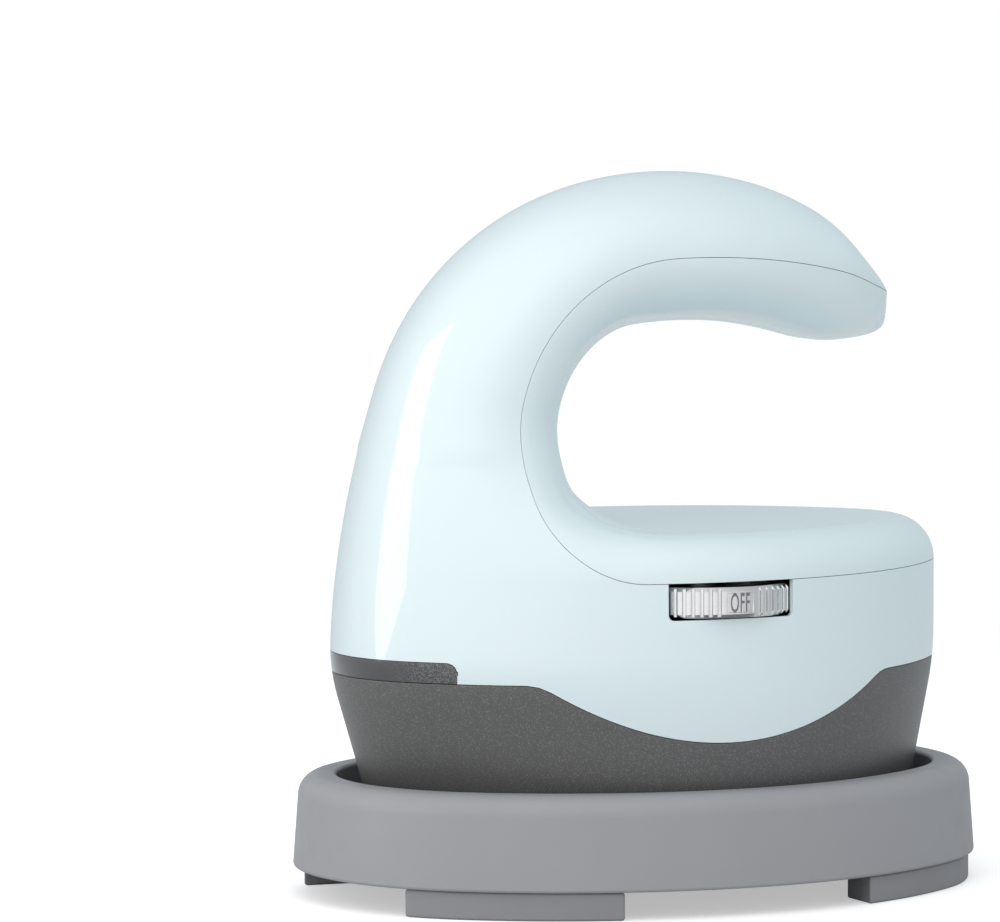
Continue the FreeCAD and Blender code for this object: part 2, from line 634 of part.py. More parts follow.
def heat_skirt():
    wall = body_solid(0, SKIRT_Z, WAIST_Z).cut(bib_region(0.0))
    wall = wall.cut(body_solid(WALL, SKIRT_Z - 1, WAIST_Z + 1))
    collar = body_solid(WALL + COLLAR_GAP, FLOOR_Z, COLLAR_TOP)
    collar = collar.cut(body_solid(WALL + COLLAR_GAP + COLLAR, FLOOR_TOP, COLLAR_TOP + 1))
    bridge = body_solid(WALL - 0.5, FLOOR_Z, FLOOR_Z + 0.9)
    skirt = wall.fuse(bridge).fuse(collar)
    skirt = skirt.cut(box(-70, WINDOW_END_X + 1, -40, 40, WAIST_Z - 0.5, 60))
    skirt = skirt.cut(Part.makeCylinder(GLAND_NECK_R + COLLAR_GAP, 20, V(DECK_TIP - 10, 0, CORD_Z),
                                        X_AXIS))
    for x, y in BOARD_POSTS:
        skirt = skirt.fuse(cyl(x, y, FLOOR_TOP - 0.5, BOARD_Z, BOARD_POST_R))
        skirt = skirt.cut(cyl(x, y, FLOOR_TOP, BOARD_Z + 1, 1.0 + SHAFT_CLEARANCE))
    saddle = box(CLAMP_X, CLAMP_X + CLAMP_LENGTH, -CLAMP_HALF, CLAMP_HALF, FLOOR_TOP - 0.5,
                 CORD_Z + 0.2)
    saddle = saddle.cut(Part.makeCylinder(CORD_BORE_R, 20, V(CLAMP_X - 5, 0, CORD_Z), X_AXIS))
    skirt = skirt.fuse(saddle)
    led_slots = [box(LED_BOARD_X - 1.5, LED_BOARD_X + 2.5, y - 1.5, y + 1.5, FLOOR_TOP - 0.5,
                     FLOOR_TOP + 7) for y in (-9.5, 9.5)]
    skirt = skirt.fuse(led_slots[0]).fuse(led_slots[1])
    skirt = skirt.cut(box(LED_BOARD_X - 0.05, LED_BOARD_X + 1.05, -10.05, 10.05, FLOOR_TOP + 2, 60))
    for x, y in PLATE_POSTS:
        skirt = skirt.cut(cyl(x, y, FLOOR_Z - 1, FLOOR_TOP + 1, SCREW_R + SHAFT_CLEARANCE))
    for x, y in HOUSING_POSTS:
        skirt = skirt.cut(cyl(x, y, FLOOR_Z - 1, FLOOR_TOP + 1, SCREW_R + SHAFT_CLEARANCE))
    for y in (-CLAMP_SCREW_Y, CLAMP_SCREW_Y):
        skirt = skirt.cut(cyl(CLAMP_X + CLAMP_LENGTH / 2, y, CORD_Z - 9, CORD_Z + 1,
                              1.0 + SHAFT_CLEARANCE))
    return skirt.cut(box(-11, -3, 4, 16, FLOOR_Z - 1, FLOOR_TOP + 1)).removeSplitter()


def indicator_window():
    ring = body_solid(0, WAIST_Z + 0.1, WAIST_Z + 6).cut(body_solid(WALL, WAIST_Z - 1, WAIST_Z + 7))
    return ring.common(window_cut(-SEAM_GAP))


# ---------------------------------------------------------------- heat dial
def dial_wheel():
    tooth = 360.0 / DIAL_RIBS
    depth = 0.45
    points = []
    for k in range(DIAL_RIBS):
        label = k * tooth % DIAL_STEP
        flat = min(label, DIAL_STEP - label) < 9.0 and k * tooth <= 3 * DIAL_STEP + 9.0
        flat = flat or k * tooth > 360.0 - 9.0
        for part, r in ((0.0, DIAL_RADIUS), (0.5, DIAL_RADIUS), (0.6, DIAL_RADIUS - depth),
                        (0.9, DIAL_RADIUS - depth)):
            a = math.radians(-90 - (k + part - 0.25) * tooth)
            r = DIAL_RADIUS if flat else r
            points.append(V(r * math.cos(a), DIAL_Y + r * math.sin(a), DIAL_FOOT))
    wheel = Part.Face(Part.makePolygon(points + points[:1])).extrude(V(0, 0, DIAL_THICKNESS))
    chamfer = 0.7
    r = DIAL_RADIUS + 0.1
    profile = [(0, 0), (r - chamfer, 0), (r, chamfer), (r, DIAL_THICKNESS - chamfer),
               (r - chamfer, DIAL_THICKNESS), (0, DIAL_THICKNESS)]
    half = Part.makePolygon([V(x, DIAL_Y, DIAL_FOOT + z) for x, z in profile + profile[:1]])
    round_off = Part.Face(half).revolve(V(0, DIAL_Y, 0), Z_AXIS, 360)
    wheel = wheel.common(round_off)
    recess = cyl(0, DIAL_Y, DIAL_TOP - 2.0, DIAL_TOP + 1, DIAL_RADIUS - 3.0)
    hub = cyl(0, DIAL_Y, DIAL_TOP - 3.0, DIAL_TOP - 0.5, 5.5)
    bore = cyl(0, DIAL_Y, DIAL_FOOT - 1, DIAL_TOP - 1.8, SPINDLE_R)
    screw_hole = cyl(0, DIAL_Y, DIAL_FOOT, DIAL_TOP + 1, 1.0 + SHAFT_CLEARANCE)
    return wheel.cut(recess).fuse(hub).cut(bore).cut(screw_hole)


SWITCH_TOP = BOARD_Z + BOARD_THICKNESS + SWITCH_HEIGHT


def dial_spindle():
    shaft = cyl(0, DIAL_Y, BOARD_Z + BOARD_THICKNESS + 3.0, DIAL_TOP - 1.8, SPINDLE_R)
    return shaft.cut(cyl(0, DIAL_Y, DIAL_TOP - 6.0, DIAL_TOP, 1.0 + SHAFT_CLEARANCE))


def dial_screw():
    return screw(0, DIAL_Y, DIAL_TOP - 0.5, 4.5, r=1.0, head_r=2.2, head=0.9)


def rotary_switch():
    z0 = BOARD_Z + BOARD_THICKNESS
    body = box(-SWITCH_HALF, SWITCH_HALF, DIAL_Y - SWITCH_HALF, DIAL_Y + SWITCH_HALF, z0,
               SWITCH_TOP)
    body = body.makeChamfer(1.0, [e for e in body.Edges if abs(e.Length - SWITCH_HEIGHT) < 1e-6])
    bushing = cyl(0, DIAL_Y, SWITCH_TOP, SWITCH_TOP + BUSHING_HEIGHT, BUSHING_R)
    bore = cyl(0, DIAL_Y, z0 + 2.8, SWITCH_TOP + BUSHING_HEIGHT + 1, SPINDLE_R + SHAFT_CLEARANCE)
    return body.fuse(bushing).cut(bore)


# ---------------------------------------------------------------- heater
def plate_holes(radius, z0, z1):
    return [cyl(x, y, z0, z1, radius) for x, y in PLATE_POSTS]


FUSE_AT, THERMISTOR_AT = (-6.0, -10.0), (14.0, 4.0)


def sensor_room(z0, z1):
    fx, fy = FUSE_AT
    tx, ty = THERMISTOR_AT
    return [box(fx - 8, fx + 8, fy - 4, fy + 4, z0, z1), box(tx - 6, tx + 6, ty - 4, ty + 4, z0, z1)]


def lead_room(z0, z1):
    return [cyl(x, y, z0, z1, 1.3) for x, y in LEADS]


LEADS = [(-7.0, 8.0), (-7.0, 12.0)]
LEAD_R = 0.8


def heat_plate():
    slab = prism(BODY_FOOT, PLATE_Z, PLATE_SLAB_TOP)
    slab = slab.makeChamfer(PLATE_BEVEL, [e for e in slab.Edges
                                          if e.BoundBox.ZMax < PLATE_Z + 0.01])
    core = prism(grown(BODY_FOOT, -CORE_INSET), PLATE_SLAB_TOP - 0.5, PLATE_TOP)
    plate = slab.fuse(core)
    for x, y in PLATE_POSTS:
        plate = plate.fuse(cyl(x, y, PLATE_TOP - 0.5, FLOOR_Z, PLATE_POST_R))
        plate = plate.cut(cyl(x, y, PLATE_TOP + 1.5, FLOOR_Z + 1, SCREW_R + SHAFT_CLEARANCE))
    return plate.removeSplitter()


def layer(inset, z, thickness, hole_r):
    """Sheet stacked on the plate, cut for the plate's posts, the sensors and the leads."""
    sheet = prism(grown(BODY_FOOT, -inset), z, z + thickness)
    cutters = plate_holes(hole_r, z - 1, z + thickness + 1) + lead_room(z - 1, z + thickness + 1)
    return sheet.cut(cutters + sensor_room(z - 1, z + thickness + 1))


ELEMENT_TOP = PLATE_TOP + ELEMENT_THICKNESS
PAD_TOP = ELEMENT_TOP + PAD_THICKNESS
SHIELD_TOP = PAD_TOP + SHIELD_THICKNESS


def heating_element():
    sheet = prism(grown(BODY_FOOT, -9.0), PLATE_TOP, ELEMENT_TOP)
    holes = plate_holes(PLATE_POST_R + 1.0, PLATE_TOP - 1, ELEMENT_TOP + 1)
    return sheet.cut(holes + sensor_room(PLATE_TOP - 1, ELEMENT_TOP + 1))


def plate_gasket():
    ring = prism(grown(BODY_FOOT, -0.8), PLATE_SLAB_TOP, SKIRT_Z)
    return ring.cut(prism(grown(BODY_FOOT, -CORE_INSET + 0.3), PLATE_SLAB_TOP - 1, SKIRT_Z + 1))


def shield_spacers():
    tubes = [cyl(x, y, SHIELD_TOP, FLOOR_Z, 5.2) for x, y in PLATE_POSTS]
    return Part.makeCompound([t.cut(h) for t, h in
                              zip(tubes, plate_holes(PLATE_POST_R + 0.15, SHIELD_TOP - 1, 40))])


def thermal_fuse():
    x, y = FUSE_AT
    body = Part.makeCylinder(1.9, 10.0, V(x - 5, y, PLATE_TOP + 1.9), X_AXIS)
    legs = Part.makeCylinder(0.4, 15.0, V(x - 7.5, y, PLATE_TOP + 1.9), X_AXIS)
    return body.fuse(legs)


def thermistor():
    x, y = THERMISTOR_AT
    bead = Part.makeCylinder(1.3, 7.0, V(x - 3.5, y, PLATE_TOP + 1.3), X_AXIS)
    return bead.fuse(Part.makeSphere(1.3, V(x - 3.5, y, PLATE_TOP + 1.3)))


def sensor_clips():
    clips = []
    for (x, y), r in ((FUSE_AT, 1.9), (THERMISTOR_AT, 1.3)):
        z = PLATE_TOP
        arch = box(x - 1.5, x + 1.5, y - r - 0.6, y + r + 0.6, z, z + 2 * r + 0.6)
        arch = arch.fuse(box(x - 1.5, x + 1.5, y - r - 1.8, y + r + 1.8, z, z + 0.5))
        room = Part.makeCylinder(r + 0.02, 6, V(x - 3, y, z + r), X_AXIS)
        clips.append(arch.cut(room).cut(box(x - 3, x + 3, y - r, y + r, z - 1, z + r)))
    return Part.makeCompound([s for c in clips for s in c.Solids])


def heater_leads():
    return Part.makeCompound([cyl(x, y, ELEMENT_TOP, BOARD_Z, LEAD_R) for x, y in LEADS])


# ---------------------------------------------------------------- electronics
def control_board():
    board = prism(grown(BODY_WAIST, -6.5), BOARD_Z, BOARD_Z + BOARD_THICKNESS)
    board = board.common(box(BOARD_FRONT_X, BOARD_BACK_X, -90, BOARD_SIDE_Y, 0, 90))
    holes = [cyl(x, y, BOARD_Z - 1, BOARD_Z + 5, 1.0 + SHAFT_CLEARANCE) for x, y in BOARD_POSTS]
    return board.cut(holes)


def relay():
    z0 = BOARD_Z + BOARD_THICKNESS
    body = box(5, 20, 6, 17, z0, z0 + 12)
    return body.makeFillet(0.6, [e for e in body.Edges if e.BoundBox.ZMin > z0 + 1])


def capacitor():
    z0 = BOARD_Z + BOARD_THICKNESS
    body = cyl(-12, 4, z0, z0 + 11, 4.0)
    return body.makeFillet(0.7, [e for e in body.Edges if e.BoundBox.ZMin > z0 + 1])


def terminal_block():
    z0 = BOARD_Z + BOARD_THICKNESS
    x1 = BOARD_BACK_X - 1.0
    body = box(x1 - 7, x1, -9, 9, z0, z0 + 8)
    body = body.cut([Part.makeCylinder(1.4, 5, V(x1 - 4, y, z0 + 3), X_AXIS) for y in (-6, 0, 6)])
    return body.cut([cyl(x1 - 3.5, y, z0 + 6, z0 + 9, 1.6) for y in (-6, 0, 6)])


def tilt_switch():
    z0 = BOARD_Z + BOARD_THICKNESS
    return Part.makeCylinder(2.0, 8.0, V(-14, 18, z0 + 2.0), X_AXIS)


def led_board():
    return box(LED_BOARD_X, LED_BOARD_X + 1.0, -10, 10, FLOOR_TOP + 2, WAIST_Z + 7)


def indicator_leds():
    leds = []
    for y in LED_Y:
        barrel = Part.makeCylinder(LED_R, 1.6, V(LED_BOARD_X - 1.6, y, LED_Z), X_AXIS)
        leds.append(barrel.fuse(Part.makeSphere(LED_R, V(LED_BOARD_X - 1.6, y, LED_Z))))
    return Part.makeCompound([led.removeSplitter() for led in leds])


# ---------------------------------------------------------------- cord entry and fasteners
def cord_gland():
    mouth = DECK_TIP + 0.4
    flange = Part.makeCylinder(GLAND_R, mouth - DECK_TIP + GLAND_SEAT,
                               V(DECK_TIP - GLAND_SEAT, 0, CORD_Z), X_AXIS)
    neck = Part.makeCylinder(GLAND_NECK_R, GLAND_LENGTH, V(mouth - GLAND_LENGTH, 0, CORD_Z), X_AXIS)
    bore = Part.makeCylinder(CORD_BORE_R, 20, V(DECK_TIP - 10, 0, CORD_Z), X_AXIS)
    return flange.fuse(neck).cut(bore)


def cord_clamp():
    z0 = CORD_Z + 0.2
    bar = box(CLAMP_X, CLAMP_X + CLAMP_LENGTH, -CLAMP_HALF, CLAMP_HALF, z0, z0 + 4.6)
    bar = bar.makeFillet(1.0, [e for e in bar.Edges if e.BoundBox.ZMin > z0 + 1
                               and e.BoundBox.XLength > 1])
    bar = bar.cut(Part.makeCylinder(CORD_BORE_R, 20, V(CLAMP_X - 5, 0, CORD_Z), X_AXIS))
    return bar.cut([cyl(CLAMP_X + CLAMP_LENGTH / 2, y, z0 - 1, z0 + 9, 1.0 + SHAFT_CLEARANCE)
                    for y in (-CLAMP_SCREW_Y, CLAMP_SCREW_Y)])


def clamp_screws():
    x = CLAMP_X + CLAMP_LENGTH / 2
    return Part.makeCompound([screw(x, y, CORD_Z + 4.8, 11.0, r=1.0, head_r=1.9, head=1.3)
                              for y in (-CLAMP_SCREW_Y, CLAMP_SCREW_Y)])


def plate_screws():
    return Part.makeCompound([screw(x, y, FLOOR_TOP, FLOOR_TOP - PLATE_TOP - 2.5)
                              for x, y in PLATE_POSTS])


def housing_screws():
    return Part.makeCompound([screw(x, y, FLOOR_Z, 16.0, up=True) for x, y in HOUSING_POSTS])


def board_screws():
    return Part.makeCompound([screw(x, y, BOARD_Z + BOARD_THICKNESS, 6.5, r=1.0, head_r=2.0,
                                    head=1.3) for x, y in BOARD_POSTS])


# ---------------------------------------------------------------- nodes
def insulation_pad():
    return layer(7.0, ELEMENT_TOP, PAD_THICKNESS, PLATE_POST_R + 0.3)


def heat_shield():
    return layer(6.0, PAD_TOP, SHIELD_THICKNESS, PLATE_POST_R + 0.3)


NODES = (stand_tray, stand_feet, stand_rest_pads, outer_shell, inner_cover, heat_skirt,
         indicator_window, indicator_leds, led_board, control_board, relay, capacitor,
         terminal_block, tilt_switch, rotary_switch, dial_wheel, dial_spindle, dial_screw,
         heat_plate, plate_gasket, heating_element, insulation_pad, heat_shield, shield_spacers,
         thermal_fuse, thermistor, sensor_clips, heater_leads, plate_screws, housing_screws,
         board_screws, cord_gland, cord_clamp, clamp_screws)

os.makedirs("parts", exist_ok=True)
for node in NODES:
    export(node.__name__, node())
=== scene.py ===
"""Looks of the mini handheld heat press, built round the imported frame.

Shapes are worked out in millimetres, in the frame's own axes, and turned into metres when a mesh
is made. The housing, skirt, window, stand and plate follow the same driving sizes as the frame.
"""

import json
import math

import bmesh
import bpy
from mathutils import Matrix, Vector

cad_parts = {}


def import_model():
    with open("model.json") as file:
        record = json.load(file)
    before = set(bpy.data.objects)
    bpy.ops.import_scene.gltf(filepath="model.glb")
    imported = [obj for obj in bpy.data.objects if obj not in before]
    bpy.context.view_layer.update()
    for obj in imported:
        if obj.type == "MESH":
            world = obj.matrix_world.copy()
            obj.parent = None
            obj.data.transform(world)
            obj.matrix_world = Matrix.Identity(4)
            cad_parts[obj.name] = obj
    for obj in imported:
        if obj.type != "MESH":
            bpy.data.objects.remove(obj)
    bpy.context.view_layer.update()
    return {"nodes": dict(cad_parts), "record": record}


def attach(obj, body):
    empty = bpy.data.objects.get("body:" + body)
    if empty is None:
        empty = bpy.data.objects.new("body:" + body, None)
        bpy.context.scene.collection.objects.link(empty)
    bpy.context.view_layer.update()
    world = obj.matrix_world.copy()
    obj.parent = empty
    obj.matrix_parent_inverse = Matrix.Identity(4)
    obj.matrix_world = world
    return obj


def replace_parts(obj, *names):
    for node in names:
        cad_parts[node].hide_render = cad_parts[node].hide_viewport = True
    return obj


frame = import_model()
NODES = frame["nodes"]
MM = 0.001

# ------------ driving sizes, millimetres
# Plan ovals: half length, half width, radius of the -X tip, radius of the +X tip, shift along X.
STAND_RIM = (56.0, 40.5, 32.2, 32.2, 0.0)
BODY_WAIST = (57.7, 40.3, 26.4, 22.0, 0.0)
BODY_DECK = (57.1, 40.2, 26.4, 22.0, 0.6)
BODY_FOOT = (52.4, 38.0, 13.0, 22.0, 0.6)
FOOT_HEIGHT, STAND_TOP = 5.0, 21.6
STAND_WALL_TOP, STAND_WALL_FOOT = 6.6, 7.8
RIM_ROLL = 3.9
TRAY_FLOOR = 10.4
PLATE_Z, PLATE_SLAB, PLATE_BEVEL = 13.0, 4.0, 2.6
SKIRT_Z, WAIST_Z, DECK_SEAM_Z = 17.6, 40.2, 57.8
DECK_HEIGHT = 8.0
DECK_Z = DECK_SEAM_Z + DECK_HEIGHT
WALL, SEAM_GAP = 2.2, 0.1
BIB_DEPTH, BIB_HALF, BIB_CORNER = 10.7, 33.7, 7.0
ARM_HALF_WIDTH, GRIP_NARROWS_X = 21.0, 2.0
WAIST_RISE, GRIP_ROUNDING = 30.0, 0.9
DIAL_RADIUS, DIAL_THICKNESS, DIAL_RIBS = 18.0, 5.4, 72
DIAL_GROOVE, DIAL_CHAMFER, DIAL_STEP = 0.45, 0.7, 60.0
DIAL_TOP = DECK_SEAM_Z - 0.7
DIAL_FOOT = DIAL_TOP - DIAL_THICKNESS
DIAL_Y = -24.2
FOOT_INNER_X, FOOT_OUTER_Y, FOOT_SHIFT = 25.2, 19.0, 2.2
FOOT_SET_IN, FOOT_WIDTH = 1.0, 8.5
PLATE_CORE, CORE_INSET = 3.0, 3.4
CORD_Z, CORD_BORE_R = 46.0, 2.9
GLAND_NECK_R, GLAND_R, GLAND_SEAT, GLAND_LENGTH, GLAND_PROUD = 3.7, 5.0, 0.8, 7.0, 0.4
SLOT_HALF, SLOT_MIDDLE, SLOT_Z, SLOT_CORNER = 12.1, -0.4, DECK_SEAM_Z - 6.4, 1.0
WINDOW_FOOT, WINDOW_TOP, WINDOW_END_X, WINDOW_CORNER = WAIST_Z + 0.12, WAIST_Z + 3.8, -45.5, 1.5
# Side-view curves: start x and z, heading in degrees, then radius and sweep of each arc.
SPINE_CURVE = (-56.5, DECK_SEAM_Z, 82.0,
               ((201.32, 9.27), (54.94, 56.72), (63.48, 29.09), (51.79, 43.19), (2.2, 23.28)))
SEAM_CURVE = (-16.0, DECK_SEAM_Z, 180.0,
              ((16.6, 80.0), (44.5, 20.0), (32.4, 78.0), (142.0, 17.0), (268.0, 2.3)))
GRIP_CURVE = (-8.7, DECK_Z, 180.0,
              ((8.0, 61.8), (34.0, 15.3), (18.7, 96.2), (85.0, 22.7), (-27.0, 17.0),
               (-60.0, 8.4), (-5.3, 81.6)))
JOIN_X = SEAM_CURVE[0]
NOSE_X, OPEN_END_X = BODY_DECK[4] - BODY_DECK[0], BODY_DECK[4] + BODY_DECK[0]


# ------------ ovals
def grown(oval, d):
    a, b, r1, r2, dx = oval
    return (a + d, b + d, r1 + d, r2 + d, dx)


def between(low, high, t):
    return tuple(p + (q - p) * t for p, q in zip(low, high))


ARCS = {}


def side_arc(oval):
    """Centre x and radius of the two long side arcs, tangent to both tip arcs."""
    if oval not in ARCS:
        a, b, r1, r2, _ = oval
        radius = 2.0 * a
        for _ in range(40):
            xc = ((r2 - r1) * (2 * radius - r1 - r2) / (2 * a - r1 - r2) + r1 - r2) / 2
            m = xc + a - r1
            radius = (m * m + b * b - r1 * r1) / (2 * (b - r1))
        ARCS[oval] = (xc, radius)
    return ARCS[oval]


def half_width(oval, x):
    a, b, r1, r2, dx = oval
    xc, radius = side_arc(oval)
    x -= dx
    front, back = -(a - r1), a - r2
    if x < front - r1 * (xc - front) / (radius - r1):
        return math.sqrt(max(r1 * r1 - (x - front) ** 2, 0.0))
    if x > back + r2 * (back - xc) / (radius - r2):
        return math.sqrt(max(r2 * r2 - (x - back) ** 2, 0.0))
    return math.sqrt(radius * radius - (x - xc) ** 2) - (radius - b)


def facing(oval, angle):
    """Point of the oval whose outward normal has this angle, in radians from +X."""
    a, b, r1, r2, dx = oval
    xc, radius = side_arc(oval)
    rise = radius - b
    turn = math.atan2(math.sin(angle), math.cos(angle))
    side = math.copysign(1.0, turn)
    front, back = -(a - r1), a - r2
    if abs(turn) > math.atan2(rise, front - xc):
        cx, cy, r = front, 0.0, r1
    elif abs(turn) < math.atan2(rise, back - xc):
        cx, cy, r = back, 0.0, r2
    else:
        cx, cy, r = xc, -side * rise, radius
    return cx + dx + r * math.cos(turn), cy + r * math.sin(turn)


def around(oval, count):
    """Normal angles of points spaced evenly round the oval, from the -X tip through -Y."""
    fine = 1440
    angles = [-math.pi + 2 * math.pi * k / fine for k in range(fine + 1)]
    points = [facing(oval, t) for t in angles]
    runs = [0.0]
    for p, q in zip(points, points[1:]):
        runs.append(runs[-1] + math.dist(p, q))
    found, k = [], 0
    for i in range(count):
        goal = runs[-1] * i / count
        while runs[k + 1] < goal:
            k += 1
        t = (goal - runs[k]) / max(runs[k + 1] - runs[k], 1e-9)
        found.append(angles[k] + (angles[k + 1] - angles[k]) * t)
    return found


# ------------ side-view curves
ARC_STEP = 0.5               # millimetres between points of an arc


def chain(spec):
    """Points of a chain of tangent arcs, as (x, z, heading)."""
    x, z, heading, arcs = spec
    h = math.radians(heading)
    points = [(x, z, h)]
    for radius, sweep in arcs:
        turn = math.radians(sweep) * (1 if radius > 0 else -1)
        cx, cz = x + radius * math.sin(h), z - radius * math.cos(h)
        count = max(int(abs(radius * turn) / ARC_STEP), 3)
        for k in range(1, count + 1):
            a = h - turn * k / count
            points.append((cx - radius * math.sin(a), cz + radius * math.cos(a), a))
        h -= turn
        x, z, _ = points[-1]
    return points


SPINE = [(x, z) for x, z, _ in chain(SPINE_CURVE)]
GRIP = [(80.0, DECK_Z)] + [(x, z) for x, z, _ in chain(GRIP_CURVE)]
SEAM = chain(SEAM_CURVE)


def ray_hit(points, origin, way):
    """Distance from origin along way to the nearest crossing of the polyline."""
    best = None
    for (x0, z0), (x1, z1) in zip(points, points[1:]):
        ex, ez = x1 - x0, z1 - z0
        det = ex * way[1] - way[0] * ez
        if abs(det) < 1e-9:
            continue
        rx, rz = x0 - origin[0], z0 - origin[1]
        t = (ex * rz - rx * ez) / det
        s = (way[0] * rz - way[1] * rx) / det
        if t > 0 and -1e-6 <= s <= 1 + 1e-6 and (best is None or t < best):
            best = t
    return best


def bisect(holds, low, high):
    """Largest value at which a test that holds from low on still does."""
    for _ in range(40):
        middle = (low + high) / 2
        low, high = (middle, high) if holds(middle) else (low, middle)
    return low


def smooth(t):
    t = min(max(t, 0.0), 1.0)
    return t * t * (3 - 2 * t)


def steps(low, high, count):
    return [low + (high - low) * k / count for k in range(count + 1)]


GRIP_TIP_X = SPINE[-1][0] - 0.4


def seam_half_width(x, z):
    wall = half_width(BODY_DECK, x)
    if x > GRIP_NARROWS_X and z > DECK_SEAM_Z + WAIST_RISE:
        u = (x - GRIP_NARROWS_X) / (GRIP_TIP_X - GRIP_NARROWS_X)
        return ARM_HALF_WIDTH * math.sqrt(max(1 - u * u, 0.0))
    return wall + (ARM_HALF_WIDTH - wall) * smooth((z - DECK_SEAM_Z) / WAIST_RISE)


# ------------ meshes
EDGE_ANGLE = 40.0            # degrees from which an edge is rounded, or crisp


def new_object(name, data):
    obj = bpy.data.objects.new(name, data)
    bpy.context.collection.objects.link(obj)
    return obj


def mesh_object(name, verts, faces, body, material, flat=False):
    """New piece from points in millimetres, riding on a body."""
    mesh = bpy.data.meshes.new(name)
    mesh.from_pydata([(x * MM, y * MM, z * MM) for x, y, z in verts], [], faces)
    bm = bmesh.new()
    bm.from_mesh(mesh)
    bmesh.ops.remove_doubles(bm, verts=bm.verts, dist=2e-6)
    bmesh.ops.recalc_face_normals(bm, faces=bm.faces)
    for face in bm.faces:
        face.smooth = not flat
    bm.to_mesh(mesh)
    bm.free()
    mesh.materials.append(material)
    obj = new_object(name, mesh)
    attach(obj, body)
    return obj


def grid_faces(rows, columns, closed=False):
    """Quads of a grid whose vertex (row, column) has index row * columns + column."""
    last = columns if closed else columns - 1
    return [(r * columns + c, r * columns + (c + 1) % columns,
             (r + 1) * columns + (c + 1) % columns, (r + 1) * columns + c)
            for r in range(rows - 1) for c in range(last)]


def tube_faces(rows, count):
    """Quads of a grid that closes round, and its two ends."""
    last = (rows - 1) * count
    return grid_faces(rows, count, closed=True) + [tuple(range(count))[::-1],
                                                   tuple(range(last, last + count))]


def thicken(obj):
    """Gives an open surface the housing's wall, inwards."""
    wall = obj.modifiers.new("wall", "SOLIDIFY")
    wall.thickness, wall.offset = WALL * MM, -1.0


def even_shading(obj, weight):
    """Lets the large faces set the shading, so that flats stay flat beside rounded edges."""
    flatten = obj.modifiers.new("flatten", "WEIGHTED_NORMAL")
    flatten.weight = weight
    return flatten


def finish_edges(obj, width, segments=3):
    """Rounds the edges of a piece by a width in millimetres."""
    edge = obj.modifiers.new("edge", "BEVEL")
    edge.width, edge.segments = width * MM, segments
    edge.angle_limit = math.radians(EDGE_ANGLE)
    even_shading(obj, 50).keep_sharp = True


def ring_stack(levels, count):
    """Verts and faces of capped ovals at (oval, z) levels, matched by their normals."""
    angles = around(levels[0][0], count)
    verts = [(*facing(oval, t), z) for oval, z in levels for t in angles]
    return verts, tube_faces(len(levels), count)


def rounded(points, radii, count):
    """Open profile of (offset, z) corners, each corner rounded by its radius."""
    out = [points[0]]
    for before, corner, after, r in zip(points, points[1:], points[2:], radii):
        a, b, c = Vector(before), Vector(corner), Vector(after)
        u, v = (a - b).normalized(), (c - b).normalized()
        half = u.angle(v) / 2
        reach = r / math.tan(half)
        centre = b + (u + v).normalized() * (r / math.sin(half))
        p, q = b + u * reach - centre, b + v * reach - centre
        total = p.angle(q)
        for k in range(count + 1):
            t = total * k / count
            s = (p * math.sin(total - t) + q * math.sin(t)) / math.sin(total)
            out.append(tuple(centre + s))
    out.append(points[-1])
    return out


# ------------ surfaces of the housing
EASE = 5.0                   # height over which the wall eases from its draft to upright


def wall_oval(z):
    """Oval of the outside wall at height z, easing over the waist and into the spine."""
    lean = (WAIST_Z - z) / (WAIST_Z - SKIRT_Z)
    ease = EASE / (WAIST_Z - SKIRT_Z)
    if lean <= -ease:
        down = 0.0
    elif lean < ease:
        down = (lean + ease) ** 2 / (4 * ease)
    else:
        down = lean
    if z <= WAIST_Z:
        return between(BODY_WAIST, BODY_FOOT, down)
    up = ((z - WAIST_Z) / (DECK_SEAM_Z - WAIST_Z)) ** 2
    top = between(BODY_WAIST, BODY_DECK, min(up, 1.0))
    return tuple(t + (q - p) * down for t, p, q in zip(top, BODY_WAIST, BODY_FOOT))


def wall_point(u, front, z):
    """Point of the wall; u runs from -1 at +Y to 1 at -Y, round the -X or the +X tip."""
    plan = wall_oval(z)
    a, dx = plan[0], plan[4]
    tip, sign = (dx - a, 1.0) if front else (dx + a, -1.0)
    x = tip + sign * abs(JOIN_X - tip) * (1 - math.cos(u * math.pi / 2))
    y = half_width(plan, x) if u else 0.0
    return x, -math.copysign(y, u), z


def u_at(x, front, side):
    """Parameter at which the wall is at x, on the side -1 (+Y) or 1 (-Y)."""
    a, dx = BODY_WAIST[0], BODY_WAIST[4]
    tip = dx - a if front else dx + a
    return side * math.acos(1 - abs(x - tip) / abs(JOIN_X - tip)) * 2 / math.pi


def columns(count, marks):
    """Evenly spaced parameters from -1 to 1, with the marks in place of those near them."""
    even = [-1 + 2 * k / count for k in range(count + 1)]
    clear = [s for s in even if all(abs(s - mark) > 0.9 / count for mark in marks)]
    return sorted(clear + marks)


def bib_line(x, offset):
    """Height of the wavy line between shell and skirt at x."""
    radius = (BIB_HALF ** 2 + BIB_DEPTH ** 2) / (2 * BIB_DEPTH)
    cz = WAIST_Z - BIB_DEPTH + radius
    level, corner, r = WAIST_Z + offset, BIB_CORNER + offset, radius - offset
    drop = cz - (level - corner)
    fx = math.sqrt((r + corner) ** 2 - drop ** 2)
    tx = fx * r / (r + corner)
    x = abs(x)
    if x <= tx:
        return cz - math.sqrt(r * r - x * x)
    if x < fx:
        return level - corner + math.sqrt(corner ** 2 - (fx - x) ** 2)
    return level


def corner_fall(x, end, r):
    """How far a corner of this radius, which ends at a place along X, has fallen at x."""
    run = min(max(x - (end - r), 0.0), r)
    return r - math.sqrt(r * r - run * run)


